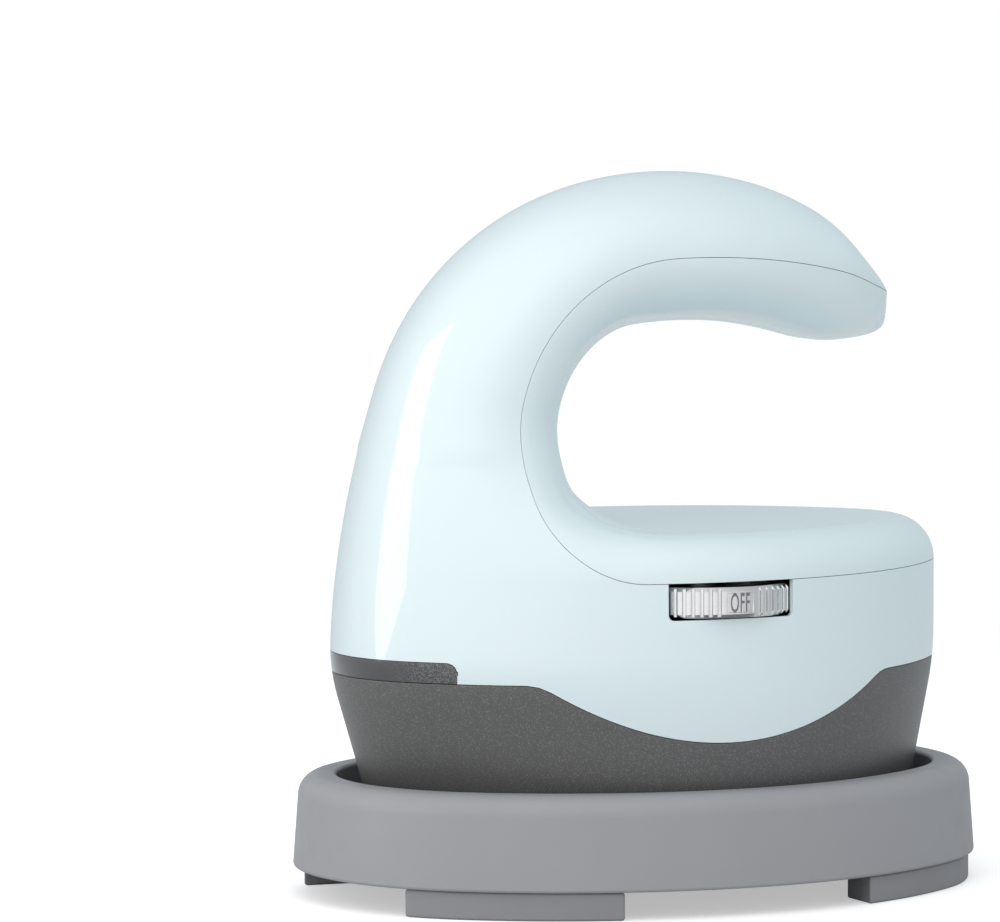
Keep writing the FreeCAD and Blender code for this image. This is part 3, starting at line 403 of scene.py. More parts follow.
def corner_places(end, r):
    return [end - r * (1 - math.sin(math.radians(a))) for a in (0, 25, 45, 62, 76, 90)]


def window_line(x, gap=0.0):
    return WINDOW_TOP - gap - corner_fall(x, WINDOW_END_X - gap, WINDOW_CORNER)


def slot_line(x):
    return SLOT_Z + corner_fall(abs(x - SLOT_MIDDLE), SLOT_HALF, SLOT_CORNER)


FRONT_COLUMNS = columns(64, [u_at(x, True, s) for s in (-1, 1)
                             for x in corner_places(WINDOW_END_X, WINDOW_CORNER)])
BACK_COLUMNS = columns(128, [u_at(SLOT_MIDDLE + side * x, False, 1) for side in (-1, 1)
                             for x in corner_places(SLOT_HALF, SLOT_CORNER)])
RING = [(u, True) for u in FRONT_COLUMNS] + [(u, False) for u in BACK_COLUMNS[::-1][1:-1]]


def levels_between(low, high, count):
    """Levels evenly spaced between two others; a level is a height as a function of x."""
    return [lambda x, t=t: low(x) * (1 - t) + high(x) * t for t in steps(0.0, 1.0, count)]


def wall_rows(levels, ring=RING):
    """Verts of the wall, a ring for each level."""
    verts = []
    for level in levels:
        for u, front in ring:
            x = wall_point(u, front, WAIST_Z)[0]
            verts.append(wall_point(u, front, level(x)))
    return verts


def spine_section(station):
    """Half oval from seam to seam round the back of the C, over the front columns."""
    sx, sz, heading = station
    upright = heading > math.pi / 2
    out = (-1.0, 0.0) if upright else (-math.sin(heading), math.cos(heading))
    depth = ray_hit(SPINE, (sx, sz), out) or 0.0
    width = seam_half_width(sx, sz)
    blend = smooth((sz - DECK_SEAM_Z) / WAIST_RISE) if upright else 1.0
    points = []
    for u in FRONT_COLUMNS:
        reach, side = math.cos(u * math.pi / 2), -math.sin(u * math.pi / 2)
        x = NOSE_X + abs(sx - NOSE_X) * (1 - reach)
        if blend < 1:
            oval_side = -math.copysign(half_width(BODY_DECK, x), u) / half_width(BODY_DECK, sx)
            side = oval_side + (side - oval_side) * blend
        points.append((sx + out[0] * depth * reach, width * side, sz + out[1] * depth * reach))
    return points


def station_at(turn):
    """Point of the seam after this many radians of turn, with its heading."""
    goal = math.pi - turn
    for (x0, z0, h0), (x1, z1, h1) in zip(SEAM, SEAM[1:]):
        if h1 <= goal:
            t = (h0 - goal) / (h0 - h1)
            return x0 + (x1 - x0) * t, z0 + (z1 - z0) * t, goal
    return SEAM[-1]


STATION_SPACING, TURN_END = 1.5, 40    # millimetres along the seam; degrees that go by turn
TURN_GAP = 0.02                        # least turn in radians from there to the next station


def stations(turn_step):
    """Stations of the seam: first by its turn, then by spacing, closer together near its end."""
    found = [station_at(math.radians(t)) for t in range(turn_step, TURN_END, turn_step)]
    begin = found[-1][2] - TURN_GAP
    run, last = 0.0, SEAM[0]
    for here in SEAM[1:]:
        run += math.dist(last[:2], here[:2])
        last = here
        left = math.dist(here[:2], SEAM[-1][:2])
        if run >= min(STATION_SPACING, max(left * 0.25, 0.3)):
            if here[2] < begin:
                found.append(here)
            run = 0.0
    return found[:-1]


def cover_rise(depth, y, width, edge_share, grip):
    """Height of the cover over the seam: a rounded edge, with the grip swelling inside it."""
    deck = DECK_HEIGHT - SEAM_GAP
    e = min((width - abs(y)) / (GRIP_ROUNDING * width), 1.0)
    foot = deck * edge_share + (depth - deck) * smooth(e)
    return foot + (depth * math.sqrt(1 - (1 - e) ** 2) - foot) * grip


COVER_SPAN = [math.cos(t) for t in steps(0.0, math.pi, 96)]     # shares of the half width


def grip_section(station):
    """Arc of the cover inside the C, in the plane normal to the seam."""
    sx, sz, heading = station
    out = (-math.sin(heading), math.cos(heading))
    sx, sz = sx - SEAM_GAP * out[0], sz - SEAM_GAP * out[1]
    width = seam_half_width(sx, sz)
    depth = ray_hit(GRIP, (sx, sz), (-out[0], -out[1]))
    grip = smooth((sz - DECK_SEAM_Z) / WAIST_RISE)
    points = []
    for share in COVER_SPAN:
        y = width * share
        e = min((width - abs(y)) / DECK_HEIGHT, 1.0)
        d = cover_rise(depth, y, width, math.sqrt(1 - (1 - e) ** 2), grip)
        points.append((sx - out[0] * d, y, sz - out[1] * d))
    return points


def deck_edge(x, y):
    """Share of its full height that the deck has at a point: less over its rounded edge."""
    if half_width(grown(BODY_DECK, -DECK_HEIGHT), x) > abs(y):
        return 1.0
    near = bisect(lambda d: half_width(grown(BODY_DECK, -d), x) > abs(y), 0.0, DECK_HEIGHT)
    return math.sqrt(1 - (1 - near / DECK_HEIGHT) ** 2)


def deck_section(x):
    """Arc across the deck at x, in an upright plane."""
    z = DECK_SEAM_Z + SEAM_GAP
    width = half_width(BODY_DECK, x)
    depth = ray_hit(GRIP, (x, z), (0.0, 1.0))
    return [(x, width * share, z + cover_rise(depth, width * share, width,
                                              deck_edge(x, width * share), 0.0))
            for share in COVER_SPAN]


# ------------ materials
def feed(owner, target, values):
    """Sets a node's inputs, by name or number, to constants or to other nodes' outputs."""
    for name, value in values.items():
        if isinstance(value, bpy.types.NodeSocket):
            owner.node_tree.links.new(value, target.inputs[name])
        else:
            target.inputs[name].default_value = value


def node(owner, kind, values, **settings):
    """New node of a material or world, with its inputs and its own settings."""
    made = owner.node_tree.nodes.new(kind)
    for name, value in settings.items():
        setattr(made, name, value)
    feed(owner, made, values)
    return made


def coords(owner, kind="Object"):
    """Coordinates of the point that is shaded."""
    return node(owner, "ShaderNodeTexCoord", {}).outputs[kind]


def material(name, color, roughness, metallic=0.0):
    """Principled material and its shader."""
    mat = bpy.data.materials.new(name)
    mat.use_nodes = True
    shader = mat.node_tree.nodes["Principled BSDF"]
    feed(mat, shader, {"Base Color": (*color, 1.0), "Roughness": roughness, "Metallic": metallic})
    return mat, shader


def noise(mat, size, detail=3.0, stretch=(1.0, 1.0, 1.0)):
    """Noise over the object's own coordinates, with features of this size in millimetres."""
    scale = node(mat, "ShaderNodeMapping", {"Vector": coords(mat), "Scale": stretch})
    return node(mat, "ShaderNodeTexNoise", {"Vector": scale.outputs["Vector"], "Detail": detail,
                                            "Scale": 1.0 / (size * MM)}).outputs["Fac"]


def ramp(owner, source, stops, interpolation="LINEAR"):
    """Colour from a value, by (position, colour) stops."""
    made = node(owner, "ShaderNodeValToRGB", {"Fac": source})
    made.color_ramp.interpolation = interpolation
    made.color_ramp.elements.remove(made.color_ramp.elements[1])
    made.color_ramp.elements[0].position = stops[0][0]
    made.color_ramp.elements[0].color = (*stops[0][1], 1.0)
    for position, color in stops[1:]:
        made.color_ramp.elements.new(position).color = (*color, 1.0)
    return made.outputs["Color"]


def grey(v):
    return (v, v, v)


def shade(color, factor):
    return tuple(c * factor for c in color)


def vary_color(mat, shader, color, size, spread, detail=4.0):
    """Soft variation of the colour, by this share either way."""
    stops = [(0.1, shade(color, 1 - spread)), (0.9, shade(color, 1 + spread))]
    feed(mat, shader, {"Base Color": ramp(mat, noise(mat, size, detail), stops)})


def vary_roughness(mat, shader, low, high, source):
    feed(mat, shader, {"Roughness": ramp(mat, source, [(0.3, grey(low)), (0.7, grey(high))])})


def bump(mat, shader, source, depth):
    """Bump of this depth in millimetres from a value."""
    made = node(mat, "ShaderNodeBump", {"Distance": depth * MM, "Height": source})
    feed(mat, shader, {"Normal": made.outputs["Normal"]})


def plastic(name, color, rough, grain, depth, spread, coat=0.0):
    """Moulded plastic: slight variation of tone, uneven gloss and a fine grain."""
    mat, shader = material(name, color, rough)
    vary_color(mat, shader, color, 9.0, spread)
    vary_roughness(mat, shader, rough * 0.9, rough * 1.12, noise(mat, 5.0))
    bump(mat, shader, noise(mat, grain, 2.0), depth)
    feed(mat, shader, {"Coat Weight": coat, "Coat Roughness": 0.1})
    return mat


def gloss_plastic(name, color, rough, spread, coat_rough, coat_ior):
    """Polished moulding: a clear hard gloss over slightly uneven colour, with no grain."""
    mat, shader = material(name, color, rough)
    vary_color(mat, shader, color, 30.0, spread, detail=0.5)
    feed(mat, shader, {"Coat Weight": 1.0, "Coat Roughness": coat_rough, "Coat IOR": coat_ior})
    return mat


def metal(name, color, rough, grain=0.5, stretch=(1.0, 1.0, 8.0)):
    """Metal with fine drawn or turned marks."""
    mat, shader = material(name, color, rough, 1.0)
    vary_color(mat, shader, color, 3.0, 0.06)
    marks = noise(mat, grain, 3.0, stretch)
    vary_roughness(mat, shader, rough * 0.8, rough * 1.25, marks)
    bump(mat, shader, marks, 0.003)
    return mat


def flecked(name, base, fleck, rough, size, amount, metallic=0.0, grain=0.006):
    """Plastic or enamel with scattered flecks of this size and share of the surface."""
    mat, shader = material(name, base, rough)
    cells = node(mat, "ShaderNodeTexVoronoi", {"Vector": coords(mat), "Scale": 1.0 / (size * MM)})
    split = node(mat, "ShaderNodeSeparateColor", {"Color": cells.outputs["Color"]})
    chosen = node(mat, "ShaderNodeMath", {0: split.outputs[0], 1: 1.0 - amount},
                  operation="GREATER_THAN").outputs[0]
    tones = ramp(mat, split.outputs[1], [(0.0, shade(fleck, 0.5)), (1.0, fleck)])
    mixed = node(mat, "ShaderNodeMix", {0: chosen, 6: (*base, 1.0), 7: tones}, data_type="RGBA")
    feed(mat, shader, {"Base Color": mixed.outputs[2]})
    if metallic:
        shine = node(mat, "ShaderNodeMath", {0: chosen, 1: metallic}, operation="MULTIPLY")
        feed(mat, shader, {"Metallic": shine.outputs[0]})
    bump(mat, shader, noise(mat, size * 1.4, 2.0), grain)
    return mat


WINDOW_FLECKS = (-55.0 * MM, -50.0 * MM)     # where along X the window's flecks set in


def smoked_window():
    """Clear dark gloss at the nose, with the skirt's sparkle in its side part."""
    mat = flecked("smoked_window", (0.02, 0.021, 0.024), (0.17, 0.165, 0.17), 0.2, 0.15, 0.4,
                  metallic=0.3, grain=0.0)
    shader = mat.node_tree.nodes["Principled BSDF"]
    feed(mat, shader, {"Coat Weight": 1.0, "Coat Roughness": 0.03, "Coat IOR": 1.6})
    mixed = shader.inputs["Base Color"].links[0].from_node
    along = node(mat, "ShaderNodeSeparateXYZ", {0: coords(mat)})
    share = node(mat, "ShaderNodeMapRange", {
        "Value": along.outputs["X"], "From Min": WINDOW_FLECKS[0], "From Max": WINDOW_FLECKS[1]})
    amount = node(mat, "ShaderNodeMath", {0: mixed.inputs[0].links[0].from_socket,
                                          1: share.outputs["Result"]}, operation="MULTIPLY")
    feed(mat, mixed, {0: amount.outputs[0]})
    return mat


SHELL_BLUE = (0.645, 0.76, 0.786)
SHELL = gloss_plastic("ice_blue_plastic", SHELL_BLUE, 0.28, 0.006, 0.035, 1.75)
SKIRT = flecked("sparkle_grey_plastic", grey(0.092), (0.24, 0.24, 0.245), 0.38, 0.13, 0.16, 0.6)
STAND = plastic("stand_grey_plastic", (0.29, 0.294, 0.312), 0.5, 0.5, 0.012, 0.02)
FOOT = plastic("foot_grey_plastic", (0.23, 0.234, 0.248), 0.55, 0.5, 0.012, 0.04)
RUBBER = plastic("pad_rubber", grey(0.06), 0.75, 0.8, 0.02, 0.1)
GASKET = plastic("gasket_silicone", grey(0.012), 0.6, 0.5, 0.01, 0.1)
BLACK = plastic("black_plastic", grey(0.022), 0.38, 0.5, 0.01, 0.1)
CHROME = metal("satin_chrome", (0.74, 0.74, 0.75), 0.18)
STEEL = metal("zinc_steel", (0.6, 0.6, 0.58), 0.32)
SHIELD = metal("sheet_aluminium", (0.75, 0.75, 0.76), 0.35, 0.8, (8.0, 1.0, 1.0))
BRASS = metal("brass", (0.75, 0.56, 0.28), 0.3)
CERAMIC = flecked("cream_ceramic", (0.86, 0.80, 0.735), (0.66, 0.57, 0.49), 0.34, 0.4, 0.04, 0.0,
                  0.003)
BEVEL = flecked("taupe_enamel", (0.34, 0.29, 0.25), (0.52, 0.47, 0.42), 0.4, 0.22, 0.14)
WINDOW = smoked_window()
INK = plastic("label_ink", grey(0.16), 0.5, 0.4, 0.002, 0.05)
BOARD = plastic("circuit_board", (0.018, 0.13, 0.06), 0.35, 1.5, 0.02, 0.25, 0.4)
RELAY = plastic("relay_case", (0.04, 0.1, 0.32), 0.3, 0.6, 0.006, 0.04)
SLEEVE = plastic("capacitor_sleeve", (0.02, 0.02, 0.055), 0.22, 0.6, 0.004, 0.06, 0.3)
LENS = plastic("led_lens", (0.82, 0.83, 0.86), 0.1, 0.8, 0.002, 0.02, 0.6)
FIBRE = plastic("fibre_pad", (0.8, 0.77, 0.7), 0.9, 0.35, 0.12, 0.08)
MICA = flecked("mica_element", (0.34, 0.29, 0.23), (0.62, 0.55, 0.45), 0.4, 0.8, 0.3, 0.5)
SILICONE = plastic("lead_silicone", (0.6, 0.06, 0.045), 0.45, 0.5, 0.01, 0.05)


# ------------ housing pieces
TIP = SEAM[-1]
TUCK_FROM, TUCK_OVER, TUCK_RISE = 33.0, 13.0, 20.0   # X from which, and lengths over which
TUCK_LOW, TUCK_HIGH = 0.9, 0.7         # how far in, and how much more above the seam
TUCK_BELOW, TUCK_BAND = 4.0, 5.0       # where under the seam's end that more sets in, over what


def tucked(point):
    """Draws the end of the grip in, more so above the seam, so that the cover ends it roundly."""
    x, y, z = point
    share = smooth((x - TUCK_FROM) / TUCK_OVER) * smooth((z - DECK_Z) / TUCK_RISE)
    above = smooth((z - TIP[1] + TUCK_BELOW) / TUCK_BAND)
    return x - share * (TUCK_LOW + TUCK_HIGH * above), y, z


NOSE_LEAN, NOSE_FULL = 0.3, 0.7        # how far the nose leans back to the seam, and swells
NOSE_PLACES = (0.06, 0.13, 0.21, 0.3, 0.4, 0.5, 0.6, 0.7, 0.8, 0.9, 0.97)
SHELL_REACH, COVER_REACH = 0.5, 0.9    # how far past the seam's end each half closes


def nose_rows(rows, reach, drop):
    """Rows that flow on from the last one and close the end of the grip at the end of the seam."""
    ahead = Vector((math.cos(TIP[2]), 0.0, math.sin(TIP[2])))
    out = Vector((-ahead.z, 0.0, ahead.x))
    end = Vector((TIP[0], 0.0, TIP[1])) + ahead * reach - out * drop
    made = []
    for t in NOSE_PLACES:
        row = []
        for before, last in zip(rows[-2], rows[-1]):
            start = Vector(last)
            way = end - start
            leave = (start - Vector(before)).normalized()
            arrive = (way - ahead * way.dot(ahead)).normalized()
            under = max(arrive.dot(out), 0.0)
            arrive = (arrive - ahead * NOSE_LEAN * under).normalized()
            full = way.length * (1 + NOSE_FULL * under)
            row.append(tuple(start * (1 - t) ** 2 * (1 + 2 * t) + leave * full * t * (1 - t) ** 2
                             + end * t * t * (3 - 2 * t) - arrive * full * t * t * (1 - t)))
        made.append(row)
    return made


TIP_THIN, TIP_EASE = 0.18, 14.0        # share of the wall left at the tip, whole again this far out
SLOT_THIN, SLOT_EASE = 0.4, 5.0        # and the same beside the dial's slot
HAIR = 0.05                  # margin where places are compared


def thin_wall(obj):
    """Vertex group that thins the wall towards the tip of the grip and round the dial's slot."""
    group = obj.vertex_groups.new(name="wall")
    tip = Vector((TIP[0] * MM, 0.0, TIP[1] * MM))
    for v in obj.data.vertices:
        x, y, z = v.co / MM
        beside = max(abs(x - SLOT_MIDDLE) - SLOT_HALF, SLOT_Z - z, 0.0)
        slot = 1.0
        if y < 0 and z < DECK_SEAM_Z + HAIR:
            slot = SLOT_THIN + (1 - SLOT_THIN) * smooth(beside / SLOT_EASE)
        share = min(max((v.co - tip).length / MM / TIP_EASE, TIP_THIN), 1.0, slot)
        group.add([v.index], share, "REPLACE")
    obj.modifiers["wall"].vertex_group = group.name


DRILL_IN, DRILL_OUT = 8.0, 4.0         # how far the drill goes to each side of the wall's tip


def drill(obj):
    """Bore through the wall at the open end of the C, for the gland."""
    circle = [(GLAND_NECK_R * math.cos(t), GLAND_NECK_R * math.sin(t))
              for t in steps(0.0, 2 * math.pi, 48)[:-1]]
    verts = [(x * MM, y * MM, (CORD_Z + z) * MM)
             for x in (OPEN_END_X - DRILL_IN, OPEN_END_X + DRILL_OUT) for y, z in circle]
    mesh = bpy.data.meshes.new("drill")
    mesh.from_pydata(verts, [], tube_faces(2, len(circle)))
    cutter = new_object("drill", mesh)
    hole = obj.modifiers.new("bore", "BOOLEAN")
    hole.operation, hole.solver, hole.object = "DIFFERENCE", "EXACT", cutter
    bpy.context.view_layer.update()
    cut = bpy.data.meshes.new_from_object(obj.evaluated_get(bpy.context.evaluated_depsgraph_get()))
    obj.modifiers.clear()
    obj.data = cut
    bpy.data.objects.remove(cutter)


def outer_shell():
    """Pale outside: the wall with its openings, then the spine and the top of the grip."""
    levels = levels_between(lambda x: bib_line(x, SEAM_GAP), window_line, 9)
    window_row = len(levels) - 1
    levels += levels_between(window_line, slot_line, 6)[1:]
    slot_row = len(levels) - 1
    levels += levels_between(slot_line, lambda x: DECK_SEAM_Z, 6)[1:]
    verts = wall_rows(levels)
    width = len(RING)
    faces = []
    for face in grid_faces(len(levels), width, closed=True):
        row = face[0] // width
        x = sum(verts[i][0] for i in face) / 4
        y = sum(verts[i][1] for i in face) / 4
        if row < window_row and x < WINDOW_END_X:
            continue
        if row >= slot_row and y < 0 and abs(x - SLOT_MIDDLE) < SLOT_HALF:
            continue
        faces.append(face)
    span = len(FRONT_COLUMNS)
    below = [(len(levels) - 1) * width + c for c in range(span)]
    rows = [spine_section(station) for station in stations(4)]
    rows += nose_rows(rows, SHELL_REACH, 0.0)
    for row in rows:
        here = list(range(len(verts), len(verts) + span))
        verts += row
        faces += [(below[c], below[c + 1], here[c + 1], here[c]) for c in range(span - 1)]
        below = here
    faces.append(tuple(below))
    verts = [tucked(p) for p in verts]
    shell = mesh_object("outer_shell_moulding", verts, faces, "press", SHELL)
    thicken(shell)
    thin_wall(shell)
    drill(shell)
    finish_edges(shell, 0.16)
    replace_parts(shell, "outer_shell")


EASE_REACH, EASE_ROUNDS = 9.0, 60
EASE_BEFORE, EASE_AFTER = 14, 22       # rows to each side of the join that may move
EASE_RISE, EASE_EDGE = 3.0, 0.1        # centre over the deck; share of the width kept at an edge


def ease_rows(rows, join):
    """Smooths the grid along its rows near the join of deck and grip, its edges kept."""
    for _ in range(EASE_ROUNDS):
        moved = {}
        for r in range(max(join - EASE_BEFORE, 1), min(join + EASE_AFTER, len(rows) - 1)):
            for c in range(1, len(rows[r]) - 1):
                x, y, z = rows[r][c]
                near = 1 - smooth(math.hypot(x - JOIN_X, z - DECK_Z - EASE_RISE) / EASE_REACH)
                edge = smooth((1 - abs(COVER_SPAN[c])) / EASE_EDGE)
                ahead, behind = rows[r + 1][c], rows[r - 1][c]
                moved[r, c] = tuple(p + 0.5 * near * edge * ((a + b) / 2 - p)
                                    for p, a, b in zip((x, y, z), ahead, behind))
        for (r, c), point in moved.items():
            rows[r][c] = point


def inner_cover():
    """Deck and inside of the C in one sweep, from the open end to the tip of the grip."""
    rim = [DECK_HEIGHT * (1 - math.cos(math.radians(a))) for a in range(9, 82, 9)]
    xs = [OPEN_END_X - d for d in rim] + steps(OPEN_END_X - DECK_HEIGHT, JOIN_X, 44)
    rows = [[(OPEN_END_X, 0.0, DECK_SEAM_Z + SEAM_GAP)] * len(COVER_SPAN)]
    rows += [deck_section(x) for x in xs]
    rows += [grip_section(station) for station in stations(3)]
    ease_rows(rows, 1 + len(xs))
    rows += nose_rows(rows, COVER_REACH, SEAM_GAP)
    verts = [tucked(p) for row in rows for p in row]
    faces = grid_faces(len(rows), len(COVER_SPAN))
    faces.append(tuple(range((len(rows) - 1) * len(COVER_SPAN), len(verts))))
    cover = mesh_object("inner_cover_moulding", verts, faces, "press", SHELL)
    thicken(cover)
    thin_wall(cover)
    finish_edges(cover, 0.1)
    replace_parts(cover, "inner_cover")


def heat_skirt():
    """Dark band between the plate and the wavy line of the shell."""
    levels = levels_between(lambda x: SKIRT_Z, lambda x: bib_line(x, 0.0), 14)
    skirt = mesh_object("heat_skirt_band", wall_rows(levels),
                        grid_faces(len(levels), len(RING), closed=True), "press", SKIRT)
    thicken(skirt)
    finish_edges(skirt, 0.25)
    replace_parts(skirt, "heat_skirt")


def indicator_window():
    """Smoked strip round the nose, under the shell's opening."""
    end = WINDOW_END_X - SEAM_GAP
    corners = [abs(u_at(x, True, 1)) for x in corner_places(end, WINDOW_CORNER)]
    us = [-u for u in corners[::-1]] + steps(-corners[0], corners[0], 40)[1:-1] + corners
    levels = levels_between(lambda x: WINDOW_FOOT, lambda x: window_line(x, SEAM_GAP), 6)
    window = mesh_object("indicator_window_strip", wall_rows(levels, [(u, True) for u in us]),
                         grid_faces(len(levels), len(us)), "press", WINDOW)
    thicken(window)
    finish_edges(window, 0.12)
    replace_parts(window, "indicator_window")


outer_shell()
inner_cover()
heat_skirt()
indicator_window()


# ------------ stand
CHANNEL_IN, CHANNEL_OUT = 1.1, STAND_WALL_FOOT - 4.4   # offsets of the channel's sides
CHANNEL_ROOF, FLOOR_UNDER = STAND_TOP - RIM_ROLL - 1.5, FOOT_HEIGHT + 3.0
TRAY_ROUNDS = (1.6, 0.7, RIM_ROLL, 0.6, 0.4, 0.6, 0.6, 0.3, 0.3, 0.6)
TRAY_REACH = 8.0             # how far in from the rim the flat floor's outline is drawn


def stand_tray():
    """Hollow moulding: floor, inside wall, rolled rim, and the channel under the rim."""
    profile = rounded(
        [(-TRAY_REACH, TRAY_FLOOR), (0.0, TRAY_FLOOR), (0.0, STAND_TOP),
         (STAND_WALL_TOP, STAND_TOP), (STAND_WALL_FOOT, FOOT_HEIGHT), (CHANNEL_OUT, FOOT_HEIGHT),
         (CHANNEL_OUT, CHANNEL_ROOF), (CHANNEL_IN, CHANNEL_ROOF), (CHANNEL_IN, FOOT_HEIGHT),
         (0.0, FOOT_HEIGHT), (0.0, FLOOR_UNDER), (-TRAY_REACH, FLOOR_UNDER)], TRAY_ROUNDS, 8)
    verts, faces = ring_stack([(grown(STAND_RIM, d), z) for d, z in profile], 224)
    tray = mesh_object("stand_tray_moulding", verts, faces, "stand", STAND)
    even_shading(tray, 80)
    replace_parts(tray, "stand_tray")


stand_tray()


RIB_HALF, RIB_SUNK = 0.8, 0.5          # half thickness, and how far it enters wall and roof
RIB_FOOT = FOOT_HEIGHT + 0.3


def tray_ribs():
    """Four ribs that bridge the channel under the rim."""
    inner = STAND_RIM[1] + CHANNEL_IN - RIB_SUNK
    outer = STAND_RIM[1] + CHANNEL_OUT + RIB_SUNK
    ends = STAND_RIM[0] - STAND_RIM[1]
    verts, faces = [], []
    for angle in (0, 90, 180, 270):
        shift = ends if angle % 180 == 0 else 0.0
        c, d = math.cos(math.radians(angle)), math.sin(math.radians(angle))
        first = len(verts)
        verts += [(c * (r + shift) - d * w, d * (r + shift) + c * w, z)
                  for z in (RIB_FOOT, CHANNEL_ROOF + RIB_SUNK)
                  for r, w in ((inner, -RIB_HALF), (outer, -RIB_HALF), (outer, RIB_HALF),
                               (inner, RIB_HALF))]
        faces += [tuple(first + k for k in face) for face in tube_faces(2, 4)]
    ribs = mesh_object("stand_tray_ribs", verts, faces, "stand", STAND)
    finish_edges(ribs, 0.2, 2)


def stand_foot(name, side_x, side_y):
    """One foot: a stretch of ring under the wall, with softened edges."""
    outside = grown(STAND_RIM, STAND_WALL_FOOT - FOOT_SET_IN)
    inside = grown(outside, -FOOT_WIDTH)
    shift = FOOT_SHIFT if side_x < 0 else 0.0
    plan = []
    for oval, order in ((outside, 1), (inside, -1)):
        outer_x = bisect(lambda x: half_width(oval, x) > FOOT_OUTER_Y, 0.0, oval[0])
        xs = steps(FOOT_INNER_X - shift, outer_x - shift, 28)
        plan += [(x, half_width(oval, x)) for x in xs[::order]]
    count = len(plan)
    verts = [(side_x * x, side_y * y, z) for z in (0.0, FOOT_HEIGHT) for x, y in plan]
    faces = grid_faces(2, count, closed=True)
    half = count // 2
    for base in (0, count):
        faces += [(base + k, base + k + 1, base + count - 2 - k, base + count - 1 - k)
                  for k in range(half - 1)]
    foot = mesh_object(name, verts, faces, "stand", FOOT)
    finish_edges(foot, 0.5)
    return foot


tray_ribs()
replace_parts(stand_foot("stand_foot_front_left", -1, -1), "stand_feet")
stand_foot("stand_foot_front_right", 1, -1)
stand_foot("stand_foot_back_left", -1, 1)
stand_foot("stand_foot_back_right", 1, 1)


# ------------ plate, gland and dial
FACE_REACH, CORE_REACH = 6.0, 4.0      # how far in the flat faces' outlines are drawn
FACE_BAND = 0.12             # faces this near the underside are ceramic


def heat_plate():
    """Cast plate: cream face, taupe bevel and side, and the smaller core above it."""
    top = PLATE_Z + PLATE_SLAB
    profile = rounded(
        [(-PLATE_BEVEL - FACE_REACH, PLATE_Z), (-PLATE_BEVEL, PLATE_Z),
         (0.0, PLATE_Z + PLATE_BEVEL), (0.0, top), (-CORE_INSET, top),
         (-CORE_INSET, top + PLATE_CORE), (-CORE_INSET - CORE_REACH, top + PLATE_CORE)],
        (0.3, 0.5, 0.25, 0.3, 0.4), 5)
    verts, faces = ring_stack([(grown(BODY_FOOT, d), z) for d, z in profile], 200)
    plate = mesh_object("heat_plate_casting", verts, faces, "press", BEVEL)
    plate.data.materials.append(CERAMIC)
    for face in plate.data.polygons:
        if face.center.z < (PLATE_Z + FACE_BAND) * MM:
            face.material_index = 1
    even_shading(plate, 80)
    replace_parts(plate, "heat_plate")


GLAND_LIP, GLAND_MOUTH = 0.35, 0.3     # radii of its rounded edges, outside and at the bore


def cord_gland():
    """Bush at the open end of the C, with a rounded lip round its bore."""
    arc = [(1 - math.cos(a), 1 - math.sin(a)) for a in map(math.radians, (0, 30, 60, 90))]
    lip = [(GLAND_R - GLAND_LIP * p, GLAND_PROUD - GLAND_LIP * q) for p, q in arc]
    mouth = [(CORD_BORE_R + GLAND_MOUTH * q, GLAND_PROUD - GLAND_MOUTH * p) for p, q in arc]
    deep = GLAND_PROUD - GLAND_LENGTH
    profile = [(GLAND_NECK_R, deep), (GLAND_NECK_R, -GLAND_SEAT), (GLAND_R, -GLAND_SEAT)]
    profile += lip + mouth + [(CORD_BORE_R, deep), (GLAND_NECK_R, deep)]
    turns = steps(0.0, 2 * math.pi, 64)[:-1]
    verts = [(OPEN_END_X + h, r * math.cos(t), CORD_Z + r * math.sin(t))
             for r, h in profile for t in turns]
    gland = mesh_object("cord_gland_bush", verts, grid_faces(len(profile), len(turns), closed=True),
                        "press", BLACK)
    gland.data.set_sharp_from_angle(angle=math.radians(EDGE_ANGLE))
    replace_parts(gland, "cord_gland")


RIB_SHAPE = ((0.0, 0.0), (0.42, 0.0), (0.5, 0.12), (0.58, 0.88), (0.66, 1.0), (0.84, 1.0),
             (0.92, 0.88), (0.98, 0.12))          # place along one rib, and depth of the groove
RIB_ANGLE = 38.0             # degrees from which an edge of the wheel is crisp
LABEL_HALF = 9.0             # degrees of plain rim each side of a label
PANEL_HALF, PANEL_SLOPE = 8.2, 0.25    # degrees: half of the sunk panel, and of its side
PANEL_DEPTH, PANEL_EDGE, PANEL_STEP = 0.12, 0.95, 0.1
DISH_R, HUB_R, SCREW_R, SHAFT_R = 15.0, 5.5, 1.05, 3.0
DISH_DEPTH, HUB_DEPTH, WEB_DEPTH = 2.0, 0.5, 1.8       # under the wheel's top


def label_offset(turn):
    """Degrees from the nearest label, or None beyond the last one."""
    k = round(turn / DIAL_STEP)
    nearest = turn - k * DIAL_STEP
    return nearest if k % 6 in (0, 1, 2, 3) else None


def dial_point(r, turn, z):
    """Point of the dial by radius, degrees of turn from the front, and height over its foot."""
    a = math.radians(-90.0 - turn)
    return r * math.cos(a), DIAL_Y + r * math.sin(a), DIAL_FOOT + z


